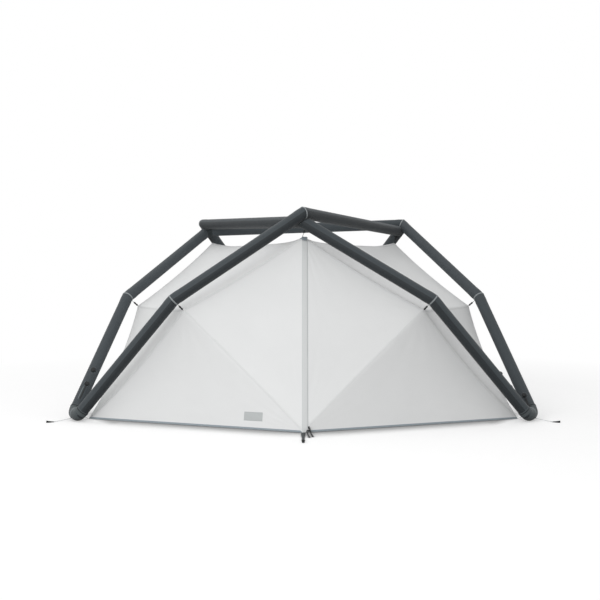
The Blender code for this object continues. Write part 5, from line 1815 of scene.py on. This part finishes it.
def makeFootGuys():
    # a taut cord from the boot's tab to the foot's peg, with an eye round the peg
    out = polar(1.0, feet["left"], 0.0)

    def at(place):
        return out * place[0] + up * place[1]

    start, end = at(rigging["guyFrom"]), at(rigging["guyTo"])
    t = np.linspace(0, 1, 28)[:, None]
    path = lerp(start, end, t) - up * (np.sin(t * math.pi) * rigging["guySag"])
    eye = hoop(*rigging["guyEye"], at(rigging["guyEyePlace"]), up + out * rigging["guyEyeLean"])
    back, high, low, radius = rigging["knot"]
    knot = bar(end - out * back + up * high, end + up * low, radius)
    width, thickness = rigging["bootTabSize"]
    tab = stripBlock([at(place) for place in rigging["bootTab"]], np.cross(up, out) * width, thickness)
    for foot, turn in thirds:
        loop = piece(f"guy_loop_{foot}", [eye, knot], [guyBraid], turn=turn)
        cordPiece(f"guy_{foot}_cord", turned(path, turn), guyBraid, [loop], [f"foot_guy_{foot}"])
        piece(f"boot_tab_{foot}", [tab], [webbing], turn=turn)


def makeDoorPegs():
    # a tab from the floor, a ring at its end, a loop round the peg, and the peg's head
    front = polar(1.0, arch["front"], 0.0)
    side = np.cross(up, front)

    def arc(middle, radius, angles):
        return front * middle + (np.cos(angles)[:, None] * front + np.sin(angles)[:, None] * side) * radius

    steps = np.linspace(0, 1, 30)[:, None]
    path = front * lerp(rigging["tabFrom"], rigging["tabTo"], steps) + up * rigging["tabHeight"]
    width = lerp(*rigging["tabWidths"], smoothStep((steps - 0.25) / 0.6))
    tab = stripBlock(path, side * width / 2, rigging["tabThickness"])
    width, thickness = rigging["foldSize"]
    path = front * lerp(*rigging["fold"], np.linspace(0, 1, 6)[:, None]) + up * rigging["foldHeight"]
    fold = stripBlock(path, side * width, thickness)
    ringRadius = rigging["ring"][0]
    middle = front * (rigging["tabTo"] + ringRadius - rigging["ringBack"]) + up * rigging["ringHeight"]
    eye = hoop(*rigging["ring"], middle, up, 32, hint=tuple(front))
    # the loop runs round the peg and back through the ring
    (tipPast, tipRadius), (rootPast, rootRadius) = rigging["loopTip"], rigging["loopRoot"]
    angles = np.linspace(-math.pi / 2, math.pi / 2, 16)
    tip = arc(rigging["pegRadius"] + tipPast, tipRadius, angles)
    root = arc(rigging["tabTo"] + ringRadius * 2 + rootPast, rootRadius, -math.pi / 2 - angles)
    loop = resampled(np.concatenate([tip, root, tip[:1]]) + up * rigging["loopHeight"], 0.003)[:-1]
    head = turnedProfile(rigging["pegHead"], front * rigging["pegRadius"], up, 32)
    dome = {"grid": head, "wrapAcross": True}
    for count, place in enumerate(("front", "back_right", "back_left")):
        turn = thirdTurn * count
        piece(f"peg_tab_{place}", [tab, fold], [webbing], turn=turn)
        made = piece(f"peg_ring_{place}", [eye], [blackPlastic], turn=turn)
        cordPiece(f"peg_loop_{place}", turned(loop, turn), pegBraid, [made])
        refinish(f"door_peg_{place}", blackPlastic)
        piece(f"peg_head_{place}", [dome], [blackPlastic], turn=turn)


# Inside: the floor, its tub, the inner tent, its rolled door and the loops that hang it

inside = {
    "floorFoot": 1.547,
    "floorHem": 1.273,
    "floorTop": 0.0015,
    "floorFlat": (2.45, 2.75),
    "floorWall": 0.0009,
    "rippleRise": 0.00035,
    "rippleTurns": (34, 27),
    "tubTop": 0.0797,
    "tubSlack": 0.0030,
    "tubWave": 0.0012,
    "wall": 0.0006,
    "tape": 0.010,
    "doorway": {"topDrop": 0.120, "seamShare": 0.36, "hemShare": 0.45},
    "gridCount": 28,
    "doorTape": 0.016,
    "roll": 0.0235,
    "rollTurns": 2.6,
    "rollCore": 0.35,
    "rollWall": 0.0012,
    "rollOver": 0.0015,
    "rollEnds": (0.04, 0.06),
    "rollBend": 0.12,
    "rollThin": 0.82,
    "rollLumps": (0.04, 40),
    "rollStraps": (0.2, 0.5, 0.8),
    # a strap's width, how much wider than the roll it is, and its swell
    "strap": (0.014, 1.06, 0.0008),
    "hangerBack": (0.001, 0.006),
    "hookShare": 0.45,
    "hookRadius": 0.0034,
    "hookLength": 0.018,
}


def hexagon(foot, hem, height, steps):
    # the six-sided outline from the left foot round, with each side cut in steps
    corners = []
    for azimuth in feet.values():
        corners.append(polar(foot, azimuth, height))
        corners.append(polar(hem, azimuth + thirdTurn / 2, height))
    corners = np.array(corners)
    t = (np.arange(steps) / steps)[None, :, None]
    return lerp(corners[:, None], np.roll(corners, -1, 0)[:, None], t).reshape(-1, 3)


def makeFloorCloth():
    # the six-sided sheet, a little rippled inside its edge
    outline = hexagon(inside["floorFoot"], inside["floorHem"], 0.0, 16)
    reach = np.concatenate([np.linspace(0, 0.98, 26), [1.0]])[:, None, None]
    grid = outline[None] * reach
    turnsX, turnsY = inside["rippleTurns"]
    ripple = np.sin(grid[..., 0] * turnsX) * np.cos(grid[..., 1] * turnsY) * inside["rippleRise"]
    grid[..., 2] = inside["floorTop"] + (ripple - 0.0002) * (1 - reach[..., 0] ** 8)
    clothPiece(
        "floor_sheet",
        [{"grid": grid, "uv": joined(grid[..., :2]), "wrapAcross": True}],
        [floorCloth],
        ["groundsheet"],
        wall=inside["floorWall"],
    )


def makeTub():
    # the tub's wall leans out a little between its foot and its taped top
    low = hexagon(shell["inner"]["foot"][0], shell["inner"]["hem"][0], inside["floorTop"] + 0.0004, 18)
    height = inside["tubTop"] - inside["floorTop"]
    s = np.concatenate([np.linspace(0, 0.86, 9), [0.9, 0.94, 0.97, 1.0]])
    out = unit(low * [1, 1, 0])
    wave = inside["tubSlack"] + inside["tubWave"] * np.sin(np.arange(len(low)) * 1.9)
    slack = np.sin(s * math.pi)[:, None] * wave[None]
    grid = low[None] + (s * height)[:, None, None] * up + slack[..., None] * out[None]
    around = pathLengths(np.concatenate([low, low[:1]]))
    wall = {"grid": grid, "uv": uvGrid(around, s * height), "wrapAcross": True}
    shares, lifts = np.array([[0, 0.08, 0.5, 0.92, 1.0], [-0.0002, 0.0007, 0.0008, 0.0007, -0.0002]])
    tape = lerp(grid[-4][None], grid[-1][None], shares[:, None, None]) + lifts[:, None, None] * out[None]
    uv = uvGrid(around, shares * inside["tape"])[..., ::-1]
    tape = {"grid": tape, "uv": uv, "wrapAcross": True, "slot": 1}
    clothPiece(
        "tub_wall",
        [wall, tape],
        [floorCloth, innerTape],
        ["inner_tub"],
        wall=inside["wall"],
    )


def innerPiece(name, parts, node, turn=0.0):
    # a cloth that hangs inside the fly
    finishes, wall = [innerCloth, innerTape, innerNet], inside["wall"]
    clothPiece(name, parts, finishes, [node], turn=turn, wall=wall)


def makeInnerTent():
    # the canopy, the two back walls and the front with its open doorway
    count, tape = inside["gridCount"], inside["tape"]
    upper, lower, slope, gore, roof, c = (
        innerPanels[key] for key in ("upper", "lower", "slope", "gore", "roof", "corners")
    )
    canopy = [panelGrid(roof, whole, count, count)]
    canopy += [edgeBand(roof, i, j, tape) for i, j in ((0, 1), (1, 2), (0, 2))]
    side = sideParts(innerPanels, count, tape, (0, 2), ((0, 2),))
    canopy += [turnedPart(part, turn) for foot, turn in thirds for part in side]
    innerPiece("canopy_cloth", canopy, "inner_canopy")
    wall = withMirror(wallParts(innerPanels, count, tape, 2))
    for name, turn in backWalls:
        innerPiece(f"inner_{name}", wall, f"inner_wall_{name}", turn)
    d = doorCorners(0.0, inside["doorway"], innerPanels)
    top, seam = sharesOf(upper, d["top"]), sharesOf(upper, d["seam"])
    lowSeam, bottom = sharesOf(lower, d["seam"]), sharesOf(lower, d["bottom"])
    half = [
        panelGrid(upper, [one, two, seam, top], count, count),
        panelGrid(lower, [one, two, bottom, lowSeam], count, count),
        edgeBand(upper, 0, 1, tape),
        edgeBand(lower, 0, 1, tape),
        bandBetween(upper, d["top"], d["seam"], c["K"], inside["doorTape"], 0.0009),
        bandBetween(lower, d["seam"], d["bottom"], c["F"], inside["doorTape"], 0.0009),
    ]
    innerPiece("inner_front_cloth", withMirror(half), "inner_front")
    makeRoll(upper["normal"], lower["normal"], d)


def makeRoll(upperNormal, lowerNormal, d):
    # the door rolled along the doorway's left edge: a spiral section, fuller in the middle
    lift = inside["roll"] + inside["rollOver"]
    (high, low), (lump, lumps) = inside["rollEnds"], inside["rollLumps"]
    mean = unit(upperNormal + lowerNormal)
    top = d["top"] + upperNormal * lift
    seam = d["seam"] + mean * lift / (mean @ upperNormal)
    bottom = d["bottom"] + lowerNormal * lift
    path = np.array([lerp(top, seam, high), seam, lerp(bottom, seam, low)])
    path = resampled(filleted(path, inside["rollBend"], 12), 0.008)
    lengths = pathLengths(path)
    along = lengths / lengths[-1]
    t = np.linspace(0, 1, 90)
    angle, radius = t * inside["rollTurns"] * 2 * math.pi, lerp(inside["rollCore"], 1.0, t)
    tangents = unit(np.gradient(path, axis=0))
    across = unit(np.cross(tangents, mean))
    other = np.cross(tangents, across)
    full = inside["roll"] * lerp(inside["rollThin"], 1.0, np.sin(along * math.pi))
    full = full * (1 + lump * np.sin(along * lumps))
    section = (np.cos(angle) * radius)[None, :, None] * across[:, None]
    section = section + (np.sin(angle) * radius)[None, :, None] * other[:, None]
    grid = path[:, None] + section * full[:, None, None]
    width = float(pathLengths(grid[len(grid) // 2])[-1])
    clothPiece(
        "door_roll_cloth",
        [{"grid": grid, "uv": uvGrid(t * width, lengths)}],
        [innerCloth],
        ["inner_door_roll"],
        weld=0.0,
        wall=inside["rollWall"],
    )
    width, wider, swell = inside["strap"]
    for count, share in enumerate(inside["rollStraps"]):
        index = int(share * (len(path) - 1))
        band = ringBand(path[index], tangents[index], width, inside["roll"] * wider, swell, mean, 40)
        piece(f"roll_strap_{count + 1}", [band], [webbing])


def makeHangers():
    # a cord with a hook from each corner of the inner tent to the fly's
    c, f = innerPanels["corners"], flyPanels["corners"]
    for foot, turn in thirds:
        for name, key in ((f"hub_{foot}", "A"), (f"knee_{foot}_front", "K"), (f"knee_{foot}_back", "K2")):
            low, high = turned(c[key], turn), turned(f[key], turn)
            along = unit(high - low)
            start, end = low - along * inside["hangerBack"][0], high - along * inside["hangerBack"][1]
            place = lerp(start, end, inside["hookShare"])
            hook = bar(place, place + along * inside["hookLength"], inside["hookRadius"], 16)
            made = piece(f"hanger_hook_{name}", [hook], [blackPlastic])
            path = resampled([start, end], 0.006)
            cordPiece(f"hanger_{name}", path, blackBraid, [made], slotName="inner_cloth")


makeTubeDetails()
print("piping, patches and valves finished")
makeTies()
makePulls()
makeLabel()
print("ties, pulls and label made")
makeFootGuys()
makeDoorPegs()
print("guys and pegs made")
makeFloorCloth()
makeTub()
makeInnerTent()
makeHangers()
print("floor and inner tent made")
